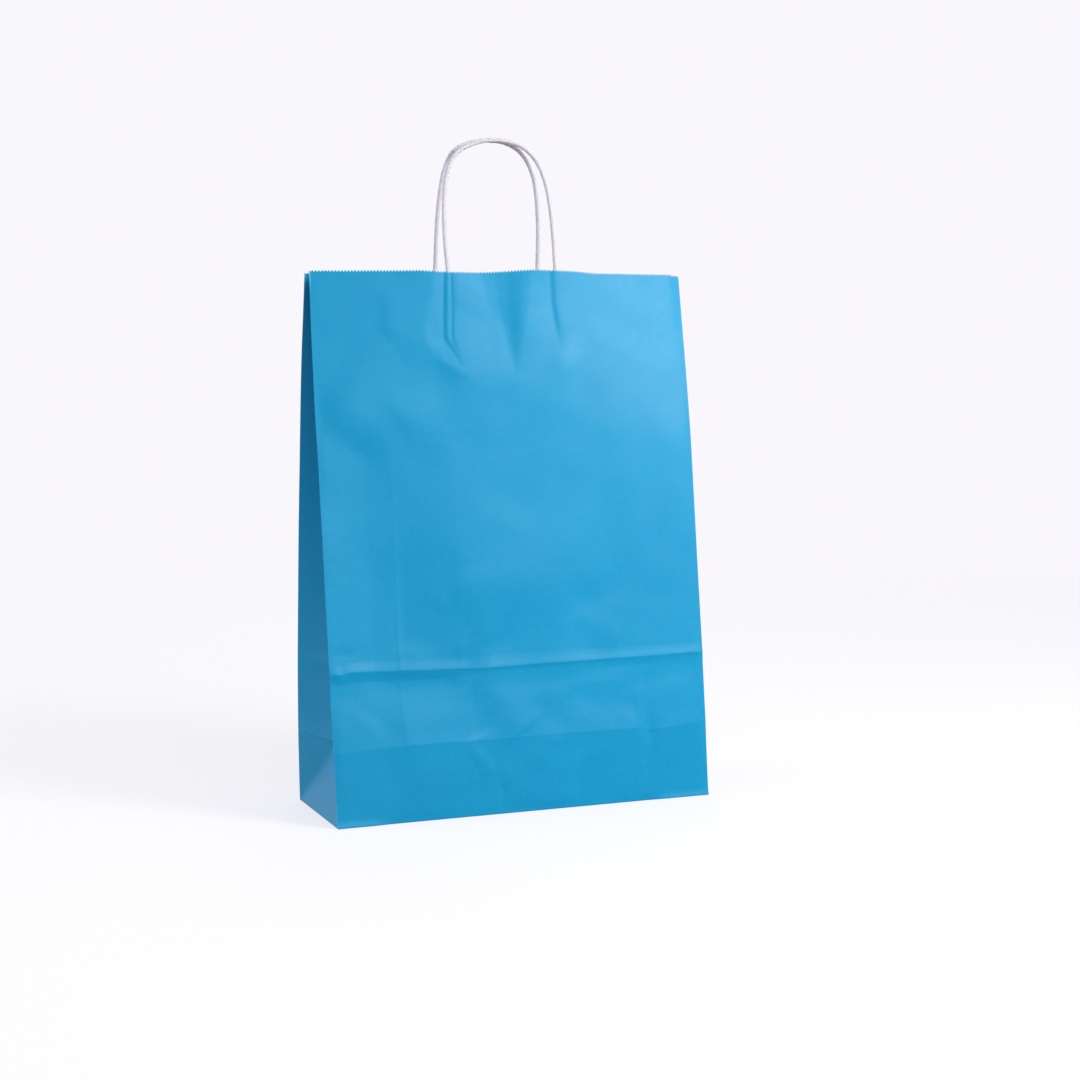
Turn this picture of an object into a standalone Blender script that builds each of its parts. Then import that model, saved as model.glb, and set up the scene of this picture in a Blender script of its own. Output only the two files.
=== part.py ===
"""Paper carrier bag: one folded sheet with side gussets and a glued block bottom, and two cord handles held in patches.

The bag stands on its bottom. X runs along its width, Y from its front wall (-Y) to its back wall (+Y), Z up.
The sheet is drawn unfolded on the walls of an upright box, cut along its creases, and then folded to its place.
"""

import math

import bmesh
import bpy
from mathutils import Vector

# The folded sheet
WIDTH = 0.310
DEPTH = 0.115
HEIGHT = 0.425
PAPER = 0.0002

# How far the folded sheet stands open
RIM_END_GAP = 0.014
RIM_SHIFT = 0.0025
RIM_BULGE = 0.0125
FRONT_LEFT_BOW = -0.002
FRONT_RIGHT_BOW = 0.0055
BACK_LEFT_BOW = 0.012
BACK_RIGHT_BOW = 0.007

# Creases across the front wall, by their height along the paper
LOW_CREASE = 0.0595
LOW_CREASE_DENT = 0.0012
LOW_CREASE_REACH = 0.012
PRESS_CREASE = 0.120
PRESS_RIDGE = 0.0010
PRESS_DENT = 0.0006
PRESS_REACH = 0.009
PRESS_STEP = 0.003

# The line that the folded gusset presses into the front and back walls
GUSSET_LINE_RIDGE = 0.0004
GUSSET_LINE_REACH = 0.006

# The cut edge of the sheet
TOOTH_PITCH = 0.0020
TOOTH_DEPTH = 0.0008
TOOTH_ROOM = 0.006

# The glued laps
BOTTOM_LAP = 0.016
SEAM_LAP = 0.012
SEAM_FROM_SIDE = 0.025
SEAM_START = 0.005
LAP_GROOVE = 0.0010

# The handles and the patches that hold their ends
CORD = 0.0035
CORD_INSERT = 0.052
CORD_STEP = 0.0080
CORD_GAP = 0.0006
HANDLE_RISE = 0.1035
PATCH_LENGTH = 0.180
PATCH_HEIGHT = 0.050
PATCH_DROP = 0.006
PATCH_MIDDLE = -0.002

# Each handle as seen from the front: points across the width, and above the rim, from one leg to the other
FRONT_ROUTE = (
    (-0.0463, 0.0),
    (-0.0470, 0.016),
    (-0.0474, 0.031),
    (-0.0470, 0.046),
    (-0.0458, 0.062),
    (-0.0428, 0.077),
    (-0.0373, 0.0885),
    (-0.0300, 0.0953),
    (-0.0215, 0.0992),
    (-0.0130, 0.1019),
    (-0.0025, 0.1031),
    (0.0080, 0.1022),
    (0.0163, 0.1001),
    (0.0245, 0.0956),
    (0.0312, 0.0885),
    (0.0364, 0.0785),
    (0.0402, 0.064),
    (0.0423, 0.047),
    (0.0433, 0.028),
    (0.0436, 0.012),
    (0.0437, 0.0),
)
BACK_ROUTE = (
    (-0.0465, 0.0),
    (-0.0465, 0.016),
    (-0.0464, 0.032),
    (-0.0459, 0.047),
    (-0.0445, 0.064),
    (-0.0418, 0.0795),
    (-0.0367, 0.0917),
    (-0.0293, 0.0980),
    (-0.0212, 0.1010),
    (-0.0130, 0.1026),
    (-0.0046, 0.1032),
    (0.0040, 0.1026),
    (0.0125, 0.1001),
    (0.0207, 0.0953),
    (0.0280, 0.0868),
    (0.0333, 0.0755),
    (0.0364, 0.062),
    (0.0385, 0.046),
    (0.0396, 0.030),
    (0.0400, 0.014),
    (0.0403, 0.0),
)

# Room between pieces that touch, and the bite of plies that are glued into one
GAP = 0.0003
BITE = 0.00002

# Spacing of the cuts that let the flat walls bend
COLUMN = 0.0155
ROW = 0.030
CORNER_ROOM = 12 * PAPER

BLUE = (0.012, 0.330, 0.620, 1.0)
WHITE = (0.78, 0.77, 0.78, 1.0)
FRONT = -1
BACK = 1
TINY = 1e-6


def new_collection(name):
    collection = bpy.data.collections.new(name)
    bpy.context.scene.collection.children.link(collection)
    return collection


def paper_material(name, colour, roughness):
    material = bpy.data.materials.new(name)
    material.use_nodes = True
    shader = material.node_tree.nodes["Principled BSDF"]
    shader.inputs["Base Color"].default_value = colour
    shader.inputs["Roughness"].default_value = roughness
    shader.inputs["Metallic"].default_value = 0.0
    return material


def mesh_object(name, bm, collection):
    mesh = bpy.data.meshes.new(name)
    bm.to_mesh(mesh)
    bm.free()
    obj = bpy.data.objects.new(name, mesh)
    collection.objects.link(obj)
    return obj


# The folded form of the sheet


def between(value, points):
    """The height of a line through the given (position, height) points, level past its ends."""
    if value <= points[0][0]:
        return points[0][1]
    for (low, start), (high, end) in zip(points, points[1:]):
        if value <= high:
            return start + (end - start) * (value - low) / (high - low)
    return points[-1][1]


def front_creases(h):
    """How far the creases across the front wall stand out at height h."""
    return between(
        h,
        (
            (LOW_CREASE - LOW_CREASE_REACH, 0.0),
            (LOW_CREASE, -LOW_CREASE_DENT),
            (LOW_CREASE + LOW_CREASE_REACH, 0.0),
            (PRESS_CREASE - PRESS_REACH, 0.0),
            (PRESS_CREASE - PRESS_STEP, -PRESS_DENT),
            (PRESS_CREASE, PRESS_RIDGE),
            (PRESS_CREASE + PRESS_REACH, 0.0),
        ),
    )


def gusset_line(x, h):
    """How far a wall stands out over the line that the folded gusset presses into it."""
    off = abs(abs(x) - (WIDTH / 2 - DEPTH / 2))
    grown = min(1.0, max(0.0, 4 * h / DEPTH - 1))
    return GUSSET_LINE_RIDGE * grown * max(0.0, 1 - off / GUSSET_LINE_REACH)


def edge_out(side, end, h):
    """How far a side edge of a wall stands out from the middle of the bag."""
    k = h / HEIGHT
    bows = {
        (FRONT, -1): FRONT_LEFT_BOW,
        (FRONT, 1): FRONT_RIGHT_BOW,
        (BACK, -1): BACK_LEFT_BOW,
        (BACK, 1): BACK_RIGHT_BOW,
    }
    rim = RIM_END_GAP / 2 + side * RIM_SHIFT
    return DEPTH / 2 * (1 - k) + rim * k + 4 * bows[side, end] * k * (1 - k)


def rise(h):
    """Height above the floor of the point at height h along the paper."""
    whole_lean = (DEPTH - RIM_END_GAP) / 2 / HEIGHT
    return PAPER / 2 + h * math.sqrt(1 - whole_lean**2)


def on_wall(side, x, h):
    """A point on the outer face of the front or back wall."""
    k = h / HEIGHT
    right = x / WIDTH + 0.5
    out = edge_out(side, -1, h) * (1 - right) + edge_out(side, 1, h) * right
    out += RIM_BULGE * k * k * (1 - (2 * x / WIDTH) ** 2) + gusset_line(x, h)
    if side == FRONT:
        out += front_creases(h)
    return Vector((x, side * out, rise(h)))


def behind_wall(side, x, h, inward):
    """The point that far behind the outer face of a wall, towards the inside of the bag."""
    step = 0.001
    across = on_wall(side, x + step, h) - on_wall(side, x - step, h)
    upward = on_wall(side, x, h + step) - on_wall(side, x, h - step)
    outward = across.cross(upward).normalized() * -side
    return on_wall(side, x, h) - outward * inward


def gusset_crease(end, h):
    """A point on the crease down the middle of a gusset. It lies half a gusset from each side edge."""
    front = edge_out(FRONT, end, h)
    back = edge_out(BACK, end, h)
    half = (front + back) / 2
    step = 0.001
    higher = (edge_out(FRONT, end, h + step) + edge_out(BACK, end, h + step)) / 2
    drop = half * (half - higher) / step
    inward = math.sqrt(max((DEPTH / 2) ** 2 - half**2 - drop**2, TINY))
    return Vector((end * (WIDTH / 2 - inward), (back - front) / 2, rise(h) - drop))


def on_gusset(end, v, h):
    """A point on a gusset, v from its middle. The triangle at its foot leans in about the bottom fold."""
    side = BACK if v > 0 else FRONT
    edge = on_wall(side, end * WIDTH / 2, h)
    if h >= DEPTH / 2:
        return gusset_crease(end, h).lerp(edge, abs(v) / (DEPTH / 2))
    apex = gusset_crease(end, DEPTH / 2)

    def on_triangle(y):
        foot = Vector((end * WIDTH / 2, y, 0.0))
        if abs(y) < DEPTH / 2 - TINY:
            foot.z = 2.5 * PAPER
        return foot.lerp(Vector((apex.x, apex.y + y, apex.z)), h / (DEPTH / 2))

    diagonal = DEPTH / 2 - h
    if abs(v) <= diagonal:
        return on_triangle(v)
    return on_triangle(side * diagonal).lerp(edge, (abs(v) - diagonal) / h)


def fold(bm):
    """Takes every point of the unfolded box walls to its place on the folded bag."""
    for vert in bm.verts:
        x, y, h = vert.co
        if abs(abs(y) - DEPTH / 2) < TINY:
            vert.co = on_wall(BACK if y > 0 else FRONT, x, h)
        else:
            vert.co = on_gusset(1 if x > 0 else -1, y, h)


# Cutting flat sheets along their creases


def cuts_between(low, high, step, creases=()):
    """Even cuts from low to high, with the creases among them and no cut close beside a crease."""
    inside = [c for c in creases if low + TINY < c < high - TINY]
    count = max(1, round((high - low) / step))
    even = [low + (high - low) * i / count for i in range(1, count)]
    clear = [e for e in even if all(abs(e - c) > step / 4 for c in inside)]
    return sorted(inside + clear)


def cut(bm, faces, point, normal):
    """Cuts some faces with a plane."""
    edges = {e for f in faces for e in f.edges}
    verts = {v for f in faces for v in f.verts}
    bmesh.ops.bisect_plane(
        bm,
        geom=list(faces) + list(edges) + list(verts),
        dist=TINY,
        plane_co=point,
        plane_no=normal,
    )


def cut_across(bm, positions, axis):
    """Cuts the whole sheet at each position along an axis, 0 for X, 1 for Y and 2 for Z."""
    for position in positions:
        point = Vector((0, 0, 0))
        normal = Vector((0, 0, 0))
        point[axis] = position
        normal[axis] = 1
        cut(bm, list(bm.faces), point, normal)


def cut_gusset_diagonals(bm):
    """Cuts the creases that run up from each bottom corner to the middle of the gusset."""
    for side in (FRONT, BACK):
        low = [
            f
            for f in bm.faces
            if abs(f.normal.x) > 0.9
            and f.calc_center_median().y * side > 0
            and f.calc_center_median().z < DEPTH / 2
        ]
        cut(bm, low, Vector((0, side * DEPTH / 2, 0)), Vector((0, side, 1)))


def pink_rim(bm):
    """Cuts the top edge of the sheet into small teeth."""
    rim = [e for e in bm.edges if all(v.co.z > HEIGHT - TINY for v in e.verts)]
    for edge in rim:
        teeth = round(edge.calc_length() / TOOTH_PITCH)
        if edge.calc_length() < CORNER_ROOM + TINY:
            continue
        start = edge.verts[0].co.copy()
        made = bmesh.ops.subdivide_edges(bm, edges=[edge], cuts=2 * teeth - 1)
        points = [g for g in made["geom_inner"] if isinstance(g, bmesh.types.BMVert)]
        points.sort(key=lambda v: (v.co - start).length)
        for valley in points[::2]:
            valley.co.z -= TOOTH_DEPTH


def box_walls():
    """The four walls of the unfolded tube, open at top and bottom."""
    bm = bmesh.new()
    bmesh.ops.create_cube(bm, size=1.0)
    bmesh.ops.scale(bm, vec=(WIDTH, DEPTH, HEIGHT), verts=bm.verts)
    bmesh.ops.translate(bm, vec=(0, 0, HEIGHT / 2), verts=bm.verts)
    ends = [f for f in bm.faces if abs(f.normal.z) > 0.9]
    bmesh.ops.delete(bm, geom=ends, context="FACES_ONLY")
    return bm


def wall_columns():
    line = WIDTH / 2 - DEPTH / 2
    creases = [end * (line + off) for end in (-1, 1) for off in (-GUSSET_LINE_REACH, 0, GUSSET_LINE_REACH)]
    creases += [end * (WIDTH / 2 - CORNER_ROOM) for end in (-1, 1)]
    return cuts_between(-WIDTH / 2, WIDTH / 2, COLUMN, creases)


def wall_rows():
    creases = [
        LOW_CREASE - LOW_CREASE_REACH,
        DEPTH / 2,
        LOW_CREASE,
        LOW_CREASE + LOW_CREASE_REACH,
        PRESS_CREASE - PRESS_REACH,
        PRESS_CREASE - PRESS_STEP,
        PRESS_CREASE,
        PRESS_CREASE + PRESS_REACH,
        HEIGHT - TOOTH_ROOM,
    ]
    return cuts_between(0, HEIGHT, ROW, creases)


def folded_walls(collection):
    """The walls and gussets of the bag as one open surface, with its thickness turned inwards."""
    bm = box_walls()
    cut_across(bm, wall_columns(), 0)
    gusset_cuts = [0.0, DEPTH / 2 - CORNER_ROOM, CORNER_ROOM - DEPTH / 2, DEPTH / 4, -DEPTH / 4]
    cut_across(bm, gusset_cuts, 1)
    cut_across(bm, wall_rows(), 2)
    bm.normal_update()
    cut_gusset_diagonals(bm)
    pink_rim(bm)
    bmesh.ops.triangulate(bm, faces=bm.faces)
    fold(bm)
    walls = mesh_object("bag_body", bm, collection)
    thickness = walls.modifiers.new("paper", "SOLIDIFY")
    thickness.thickness = PAPER
    thickness.offset = -1
    thickness.use_even_offset = True
    return walls


# The glued plies of the bottom and the seam


def pinked(start, end, inward):
    """Points along a cut edge from start to end, with every other one set back."""
    start = Vector(start)
    end = Vector(end)
    steps = 2 * round((end - start).length / TOOTH_PITCH)
    points = []
    for i in range(steps + 1):
        point = start.lerp(end, i / steps)
        if i % 2:
            point += Vector(inward) * TOOTH_DEPTH
        points.append(tuple(point))
    return points


def ply(name, outline, low, high, collection):
    """A flat piece of paper with that outline, from height low to high."""
    curve = bpy.data.curves.new(name, "CURVE")
    curve.dimensions = "2D"
    curve.fill_mode = "BOTH"
    curve.extrude = (high - low) / 2
    spline = curve.splines.new("POLY")
    spline.points.add(len(outline) - 1)
    for point, (x, y) in zip(spline.points, outline):
        point.co = (x, y, 0, 1)
    spline.use_cyclic_u = True
    drawn = bpy.data.objects.new(name + "_outline", curve)
    drawn.location.z = (low + high) / 2
    collection.objects.link(drawn)
    bpy.context.view_layer.update()
    graph = bpy.context.evaluated_depsgraph_get()
    mesh = bpy.data.meshes.new_from_object(drawn.evaluated_get(graph))
    bm = bmesh.new()
    bm.from_mesh(mesh)
    bmesh.ops.remove_doubles(bm, verts=bm.verts, dist=TINY)
    bmesh.ops.transform(bm, matrix=drawn.matrix_world, verts=bm.verts)
    bpy.data.objects.remove(drawn)
    bpy.data.meshes.remove(mesh)
    return mesh_object(name, bm, collection)


def mirrored(outline, end, side):
    """An outline drawn at the left end of the front, taken to another corner of the bottom."""
    return [(-end * x, -side * y) for x, y in outline]


def wall_flap(reach, pinked_edge):
    """The part of a wall that folds under the bag, with its corners folded away, drawn at the front."""
    start = PAPER / 2
    left = (start - WIDTH / 2, start - DEPTH / 2)
    inner = (reach - WIDTH / 2, reach - DEPTH / 2)
    edge = [(inner[0], inner[1]), (-inner[0], inner[1])]
    if pinked_edge:
        edge = pinked(edge[0], edge[1], (0, -1))
    return [left] + edge + [(-left[0], left[1])]


def bottom_plies(collection):
    """The flaps of the glued bottom, from the floor up: wall flaps, their folded corners, gusset flaps."""
    flap = DEPTH / 2 + BOTTOM_LAP / 2
    short = DEPTH / 2 - BOTTOM_LAP / 2 - LAP_GROOVE
    back = mirrored(wall_flap(flap, True), -1, BACK)
    ply("back_flap", back, 0, PAPER + BITE, collection)
    ply("front_flap", wall_flap(short, False), 0, PAPER + BITE, collection)

    end_x = WIDTH / 2 - flap - LAP_GROOVE
    lap = pinked((-end_x, flap - DEPTH / 2), (end_x, flap - DEPTH / 2), (0, -1))
    hidden = short - 2 * LAP_GROOVE - DEPTH / 2
    lap += [(end_x, hidden), (-end_x, hidden)]
    ply("front_lap", lap, PAPER - BITE, 2 * PAPER + BITE, collection)

    edge_x = flap - LAP_GROOVE - WIDTH / 2
    crease = 0.6 * PAPER - DEPTH / 2
    corner = [
        (3 * PAPER - WIDTH / 2, crease),
        (edge_x, crease),
        (edge_x, -LAP_GROOVE / 2),
        (3 * PAPER - WIDTH / 2 - crease - LAP_GROOVE / 2, -LAP_GROOVE / 2),
    ]
    fold_y = DEPTH / 2 - 0.7 * PAPER
    gusset = pinked((flap - WIDTH / 2, fold_y), (flap - WIDTH / 2, -fold_y), (-1, 0))
    gusset += [(PAPER / 2 - WIDTH / 2, -fold_y), (PAPER / 2 - WIDTH / 2, fold_y)]
    for end in (-1, 1):
        for side in (FRONT, BACK):
            name = "corner_fold_{}_{}".format(end, side)
            ply(name, mirrored(corner, end, side), PAPER - 2 * BITE, 2 * PAPER + 2 * BITE, collection)
        name = "gusset_flap_{}".format(end)
        ply(name, mirrored(gusset, end, FRONT), 2 * PAPER - BITE, 3 * PAPER, collection)


def flat_sheet(x_range, h_range, columns, rows):
    """A flat rectangle in X and Z, cut along its columns and rows."""
    bm = bmesh.new()
    bmesh.ops.create_grid(bm, x_segments=1, y_segments=1, size=0.5)
    bmesh.ops.scale(bm, vec=(x_range[1] - x_range[0], h_range[1] - h_range[0], 1), verts=bm.verts)
    middle = ((x_range[0] + x_range[1]) / 2, (h_range[0] + h_range[1]) / 2, 0)
    bmesh.ops.translate(bm, vec=middle, verts=bm.verts)
    for vert in bm.verts:
        vert.co = Vector((vert.co.x, 0, vert.co.y))
    cut_across(bm, columns, 0)
    cut_across(bm, rows, 2)
    bmesh.ops.triangulate(bm, faces=bm.faces)
    return bm


def seam_ply(collection):
    """The lap of the lengthwise seam, which lies on the outside of the back wall."""
    high = WIDTH / 2 - SEAM_FROM_SIDE
    low = high - SEAM_LAP
    rows = [r for r in wall_rows() if r < HEIGHT - TOOTH_ROOM - TINY]
    top = HEIGHT - TOOTH_DEPTH - PAPER
    rows = [r for r in rows if r > SEAM_START + TINY]
    bm = flat_sheet((low, high), (SEAM_START, top), [(low + high) / 2], rows)
    for vert in bm.verts:
        vert.co = behind_wall(BACK, vert.co.x, vert.co.z, PAPER / 2)
    strip = mesh_object("seam_lap", bm, collection)
    thickness = strip.modifiers.new("paper", "SOLIDIFY")
    thickness.thickness = 1.5 * PAPER
    thickness.offset = -1 if strip.data.polygons[0].normal.y < 0 else 1
    return strip


def bag_body(collection, plies):
    walls = folded_walls(collection)
    bottom_plies(plies)
    seam_ply(plies)
    for obj in plies.objects:
        obj.hide_render = True
        obj.display_type = "WIRE"
        union = walls.modifiers.new("glue_" + obj.name, "BOOLEAN")
        union.operation = "UNION"
        union.solver = "EXACT"
        union.object = obj
    walls.data.materials.append(paper_material("bag_paper", BLUE, 0.6))
    return walls


# The handles and their patches


def smooth_line(points, step):
    """Points that far apart along a smooth curve through the given ones."""
    ends = [2 * points[0] - points[1]] + points + [2 * points[-1] - points[-2]]
    fine = []
    for before, start, end, after in zip(ends, ends[1:], ends[2:], ends[3:]):
        for i in range(12):
            t = i / 12
            fine.append(
                start
                + (end - before) * t / 2
                + (before - 2.5 * start + 2 * end - after / 2) * t * t
                + (-before / 2 + 1.5 * start - 1.5 * end + after / 2) * t**3
            )
    fine.append(points[-1])
    whole = sum((b - a).length for a, b in zip(fine, fine[1:]))
    count = max(2, round(whole / step))
    spread = [fine[0]]
    walked = 0.0
    for a, b in zip(fine, fine[1:]):
        long = (b - a).length
        while len(spread) < count and walked + long >= whole * len(spread) / count:
            spread.append(a.lerp(b, (whole * len(spread) / count - walked) / long))
        walked += long
    spread.append(fine[-1])
    return spread


def cord_depth():
    """How far behind a wall's outer face the middle of a cord end lies."""
    return 2 * (PAPER + GAP) + CORD / 2


def handle_line(side, route):
    """The middle line of a handle, with both its ends inside the bag."""
    meet = side * (CORD + CORD_GAP) / 2
    first = route[0][0]
    last = route[-1][0]
    inserted = (CORD_INSERT, CORD_INSERT / 2)
    points = [behind_wall(side, first, HEIGHT - down, cord_depth()) for down in inserted]
    for x, up in route:
        root = behind_wall(side, x, HEIGHT, cord_depth())
        lean = min(1.0, up / HANDLE_RISE)
        points.append(Vector((x, root.y + (meet - root.y) * lean, root.z + up)))
    points += [behind_wall(side, last, HEIGHT - down, cord_depth()) for down in reversed(inserted)]
    return smooth_line(points, CORD_STEP)


def handle(name, side, route, collection):
    """A cord bent to a loop, as a round tube along its line."""
    line = handle_line(side, route)
    curve = bpy.data.curves.new(name, "CURVE")
    curve.dimensions = "3D"
    curve.bevel_depth = CORD / 2
    curve.bevel_resolution = 2
    curve.use_fill_caps = True
    spline = curve.splines.new("POLY")
    spline.points.add(len(line) - 1)
    for point, place in zip(spline.points, line):
        point.co = (*place, 1)
    cord = bpy.data.objects.new(name, curve)
    collection.objects.link(cord)
    curve.materials.append(paper_material(name + "_paper", WHITE, 0.8))
    return cord


def cord_ridge(x, legs):
    """How far the inner ply of a patch stands off over a cord end."""
    high = CORD + GAP
    reach = 3 * (CORD / 2 + GAP)
    nearest = min(abs(x - leg) for leg in legs)
    if nearest >= reach:
        return 0.0
    return high * (1 + math.cos(math.pi * nearest / reach)) / 2


def patch(name, side, route, depth, over_cords, collection):
    """A ply of a handle patch, that far behind the wall's outer face and raised over the cord ends if it is the inner one."""
    legs = (route[0][0], route[-1][0])
    reach = 3 * (CORD / 2 + GAP)
    low = PATCH_MIDDLE - PATCH_LENGTH / 2
    high = PATCH_MIDDLE + PATCH_LENGTH / 2
    creases = [leg + reach * i / 6 for leg in legs for i in range(-6, 7)] if over_cords else []
    columns = cuts_between(low, high, COLUMN, creases)
    top = HEIGHT - PATCH_DROP
    rows = cuts_between(top - PATCH_HEIGHT, top, ROW / 2)
    bm = flat_sheet((low, high), (top - PATCH_HEIGHT, top), columns, rows)
    for vert in bm.verts:
        x, _, h = vert.co
        ridge = cord_ridge(x, legs) if over_cords else 0.0
        vert.co = behind_wall(side, x, h, depth + ridge)
    sheet = mesh_object(name, bm, collection)
    thickness = sheet.modifiers.new("paper", "SOLIDIFY")
    thickness.thickness = PAPER
    faces_in = sheet.data.polygons[0].normal.y * side < 0
    thickness.offset = 1 if faces_in else -1
    thickness.use_even_offset = True
    sheet.data.materials.append(paper_material(name + "_paper", WHITE, 0.8))
    return sheet


def main():
    for obj in list(bpy.data.objects):
        bpy.data.objects.remove(obj)
    bag = new_collection("paper_gift_bag")
    plies = new_collection("glued_plies")
    bag_body(bag, plies)
    for word, side, route in (("front", FRONT, FRONT_ROUTE), ("back", BACK, BACK_ROUTE)):
        handle(word + "_handle", side, route, bag)
        outer = PAPER + GAP
        patch(word + "_patch_outer", side, route, outer, False, bag)
        patch(word + "_patch_inner", side, route, outer + PAPER + GAP, True, bag)


main()
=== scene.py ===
"""Paper carrier bag: the looks of its folded sheet, glued bottom, handle patches and twisted paper cords.

The sheet is drawn flat, as it is cut and pinked, and then folded to the stance that the bag has.
"""

import math

import bpy
import numpy as np
from mathutils import Matrix, Vector


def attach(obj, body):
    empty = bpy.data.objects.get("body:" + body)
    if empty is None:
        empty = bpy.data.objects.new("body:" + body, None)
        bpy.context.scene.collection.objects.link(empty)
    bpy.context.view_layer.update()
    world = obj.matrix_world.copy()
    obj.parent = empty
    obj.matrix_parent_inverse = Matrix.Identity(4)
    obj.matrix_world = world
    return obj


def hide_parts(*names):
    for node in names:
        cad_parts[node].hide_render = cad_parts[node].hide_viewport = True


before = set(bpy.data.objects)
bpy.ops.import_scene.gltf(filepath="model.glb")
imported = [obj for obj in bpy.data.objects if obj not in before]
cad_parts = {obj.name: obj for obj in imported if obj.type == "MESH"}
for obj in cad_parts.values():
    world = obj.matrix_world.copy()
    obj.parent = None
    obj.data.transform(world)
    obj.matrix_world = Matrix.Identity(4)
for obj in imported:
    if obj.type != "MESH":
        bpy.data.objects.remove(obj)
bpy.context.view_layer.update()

# The sheet, in metres
WIDTH = 0.310
DEPTH = 0.115
HEIGHT = 0.425
PAPER = 0.0002
HALF_W = WIDTH / 2
HALF_D = DEPTH / 2
FRONT = -1
BACK = 1
MM = 0.001

# The side edges, by wall and end (-1 left, 1 right): height along the paper, and how far out from the middle
EDGE_POINTS = {
    (FRONT, -1): (
        (0, 0.0575), (0.047, 0.0502), (0.085, 0.0452), (0.121, 0.041), (0.163, 0.0358), (0.226, 0.028),
        (0.258, 0.0228), (0.3, 0.0168), (0.343, 0.0112), (0.375, 0.0078), (0.417, 0.0048), (0.425, 0.0045),
    ),
    (FRONT, 1): (
        (0, 0.0575), (0.045, 0.0528), (0.08, 0.0498), (0.108, 0.0476), (0.147, 0.0438), (0.181, 0.0396),
        (0.215, 0.0356), (0.249, 0.0315), (0.294, 0.0262), (0.34, 0.0192), (0.374, 0.013), (0.425, 0.0045),
    ),
    (BACK, -1): (
        (0, 0.0575), (0.03, 0.0586), (0.06, 0.0586), (0.096, 0.057), (0.13, 0.0542), (0.165, 0.0503),
        (0.221, 0.0442), (0.255, 0.0392), (0.299, 0.033), (0.343, 0.0268), (0.365, 0.0224), (0.386, 0.0176),
        (0.407, 0.0125), (0.425, 0.0095),
    ),
    (BACK, 1): (
        (0, 0.0575), (0.053, 0.0546), (0.106, 0.0507), (0.159, 0.0461), (0.212, 0.0405), (0.266, 0.0341),
        (0.319, 0.0267), (0.372, 0.0186), (0.4, 0.0135), (0.425, 0.0095),
    ),
}
RIM_BULGE = 0.0125
PROFILE_REACH = 0.011

# The plainer side edges of part.py, which the cords are laid out on
RIM_END_GAP = 0.014
RIM_SHIFT = 0.0025
EDGE_BOWS = {(FRONT, -1): -0.002, (FRONT, 1): 0.0055, (BACK, -1): 0.012, (BACK, 1): 0.007}

# The rim as the cut left it: place along the front wall and how much higher the edge stands
RIM_WAVE = (
    (-0.155, 0), (-0.083, 0.0004), (-0.07, 0.0006), (-0.0575, -0.0001), (-0.045, -0.0006), (-0.032, -0.0008),
    (-0.019, -0.0007), (-0.005, -0.0001), (0.008, 0.0008), (0.0215, 0.0016), (0.035, 0.0015), (0.049, 0.0011),
    (0.063, 0.0005), (0.077, -0.0006), (0.136, -0.001), (0.155, -0.002),
)
RIM_WAVE_REACH = 0.045
BACK_WAVE = 0.6

# How the relief of a wall fades towards its side edges and its foot, and how the front's foot spreads at its corners
EDGE_CALM = 0.005
FOOT_CALM = 0.007
FOOT_SPREAD = 0.0011
SPREAD_HEIGHT = 0.005
COCKLE_WAVES = 28

# Creases across the sheet, and the places along its girth where it turns a corner, from the seam on
LOW_CREASE = 0.0595
PRESS_CREASE = 0.1158
SEAM_SIDE = 0.130
FOLD_LINES = (0.285, 0.400, 0.710, 0.825)

# The cut edge
TOOTH_PITCH = 0.0025
TOOTH_DEPTH = 0.0016

# The cuts close on both sides of a crease, and how near to them the even ones are left out
CREASE_SIDE = 0.0006
CREASE_CLEAR = 0.00057

# The seam: where its lap ends along the girth, over what width the sheet steps up onto it and how far
SEAM_END = 0.0152
SEAM_SLOPE = 0.0032
SEAM_STEP = 0.00024
SMOOTH_BELOW = 38  # degrees between faces, shaded as one surface

# The handles: route points across the width and above the rim, from part.py
CORD = 0.0035
CORD_ROUND = 28
CORD_STEP = 0.0009
CURVE_STEPS = 24
STRANDS = 3
TWIST_PITCH = 0.021
GROOVE = 0.10
PLEATS = 11
PLEAT_DEPTH = 0.012
PLEAT_SWAY = 0.013
CORD_INSERT = 0.052
CORD_GAP = 0.0006
HANDLE_RISE = 0.1035
FRONT_ROUTE = (
    (-0.0463, 0), (-0.047, 0.016), (-0.0474, 0.031), (-0.047, 0.046), (-0.0458, 0.062), (-0.0428, 0.077),
    (-0.0373, 0.0885), (-0.03, 0.0953), (-0.0215, 0.0992), (-0.013, 0.1019), (-0.0025, 0.1031), (0.008, 0.1022),
    (0.0163, 0.1001), (0.0245, 0.0956), (0.0312, 0.0885), (0.0364, 0.0785), (0.0402, 0.064), (0.0423, 0.047),
    (0.0433, 0.028), (0.0436, 0.012), (0.0437, 0),
)
BACK_ROUTE = (
    (-0.0465, 0), (-0.0465, 0.016), (-0.0464, 0.032), (-0.0459, 0.047), (-0.0445, 0.064), (-0.0418, 0.0795),
    (-0.0367, 0.0917), (-0.0293, 0.098), (-0.0212, 0.101), (-0.013, 0.1026), (-0.0046, 0.1032), (0.004, 0.1026),
    (0.0125, 0.1001), (0.0207, 0.0953), (0.028, 0.0868), (0.0333, 0.0755), (0.0364, 0.062), (0.0385, 0.046),
    (0.0396, 0.03), (0.04, 0.014), (0.0403, 0),
)

# The handle patches
PATCH_LENGTH = 0.180
PATCH_HEIGHT = 0.050
PATCH_DROP = 0.006
PATCH_MIDDLE = -0.002
PATCH_CUTS = 0.003
GAP = 0.0003
WALL_GLUE = 0.0002
PLY_GLUE = 0.00012

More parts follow.
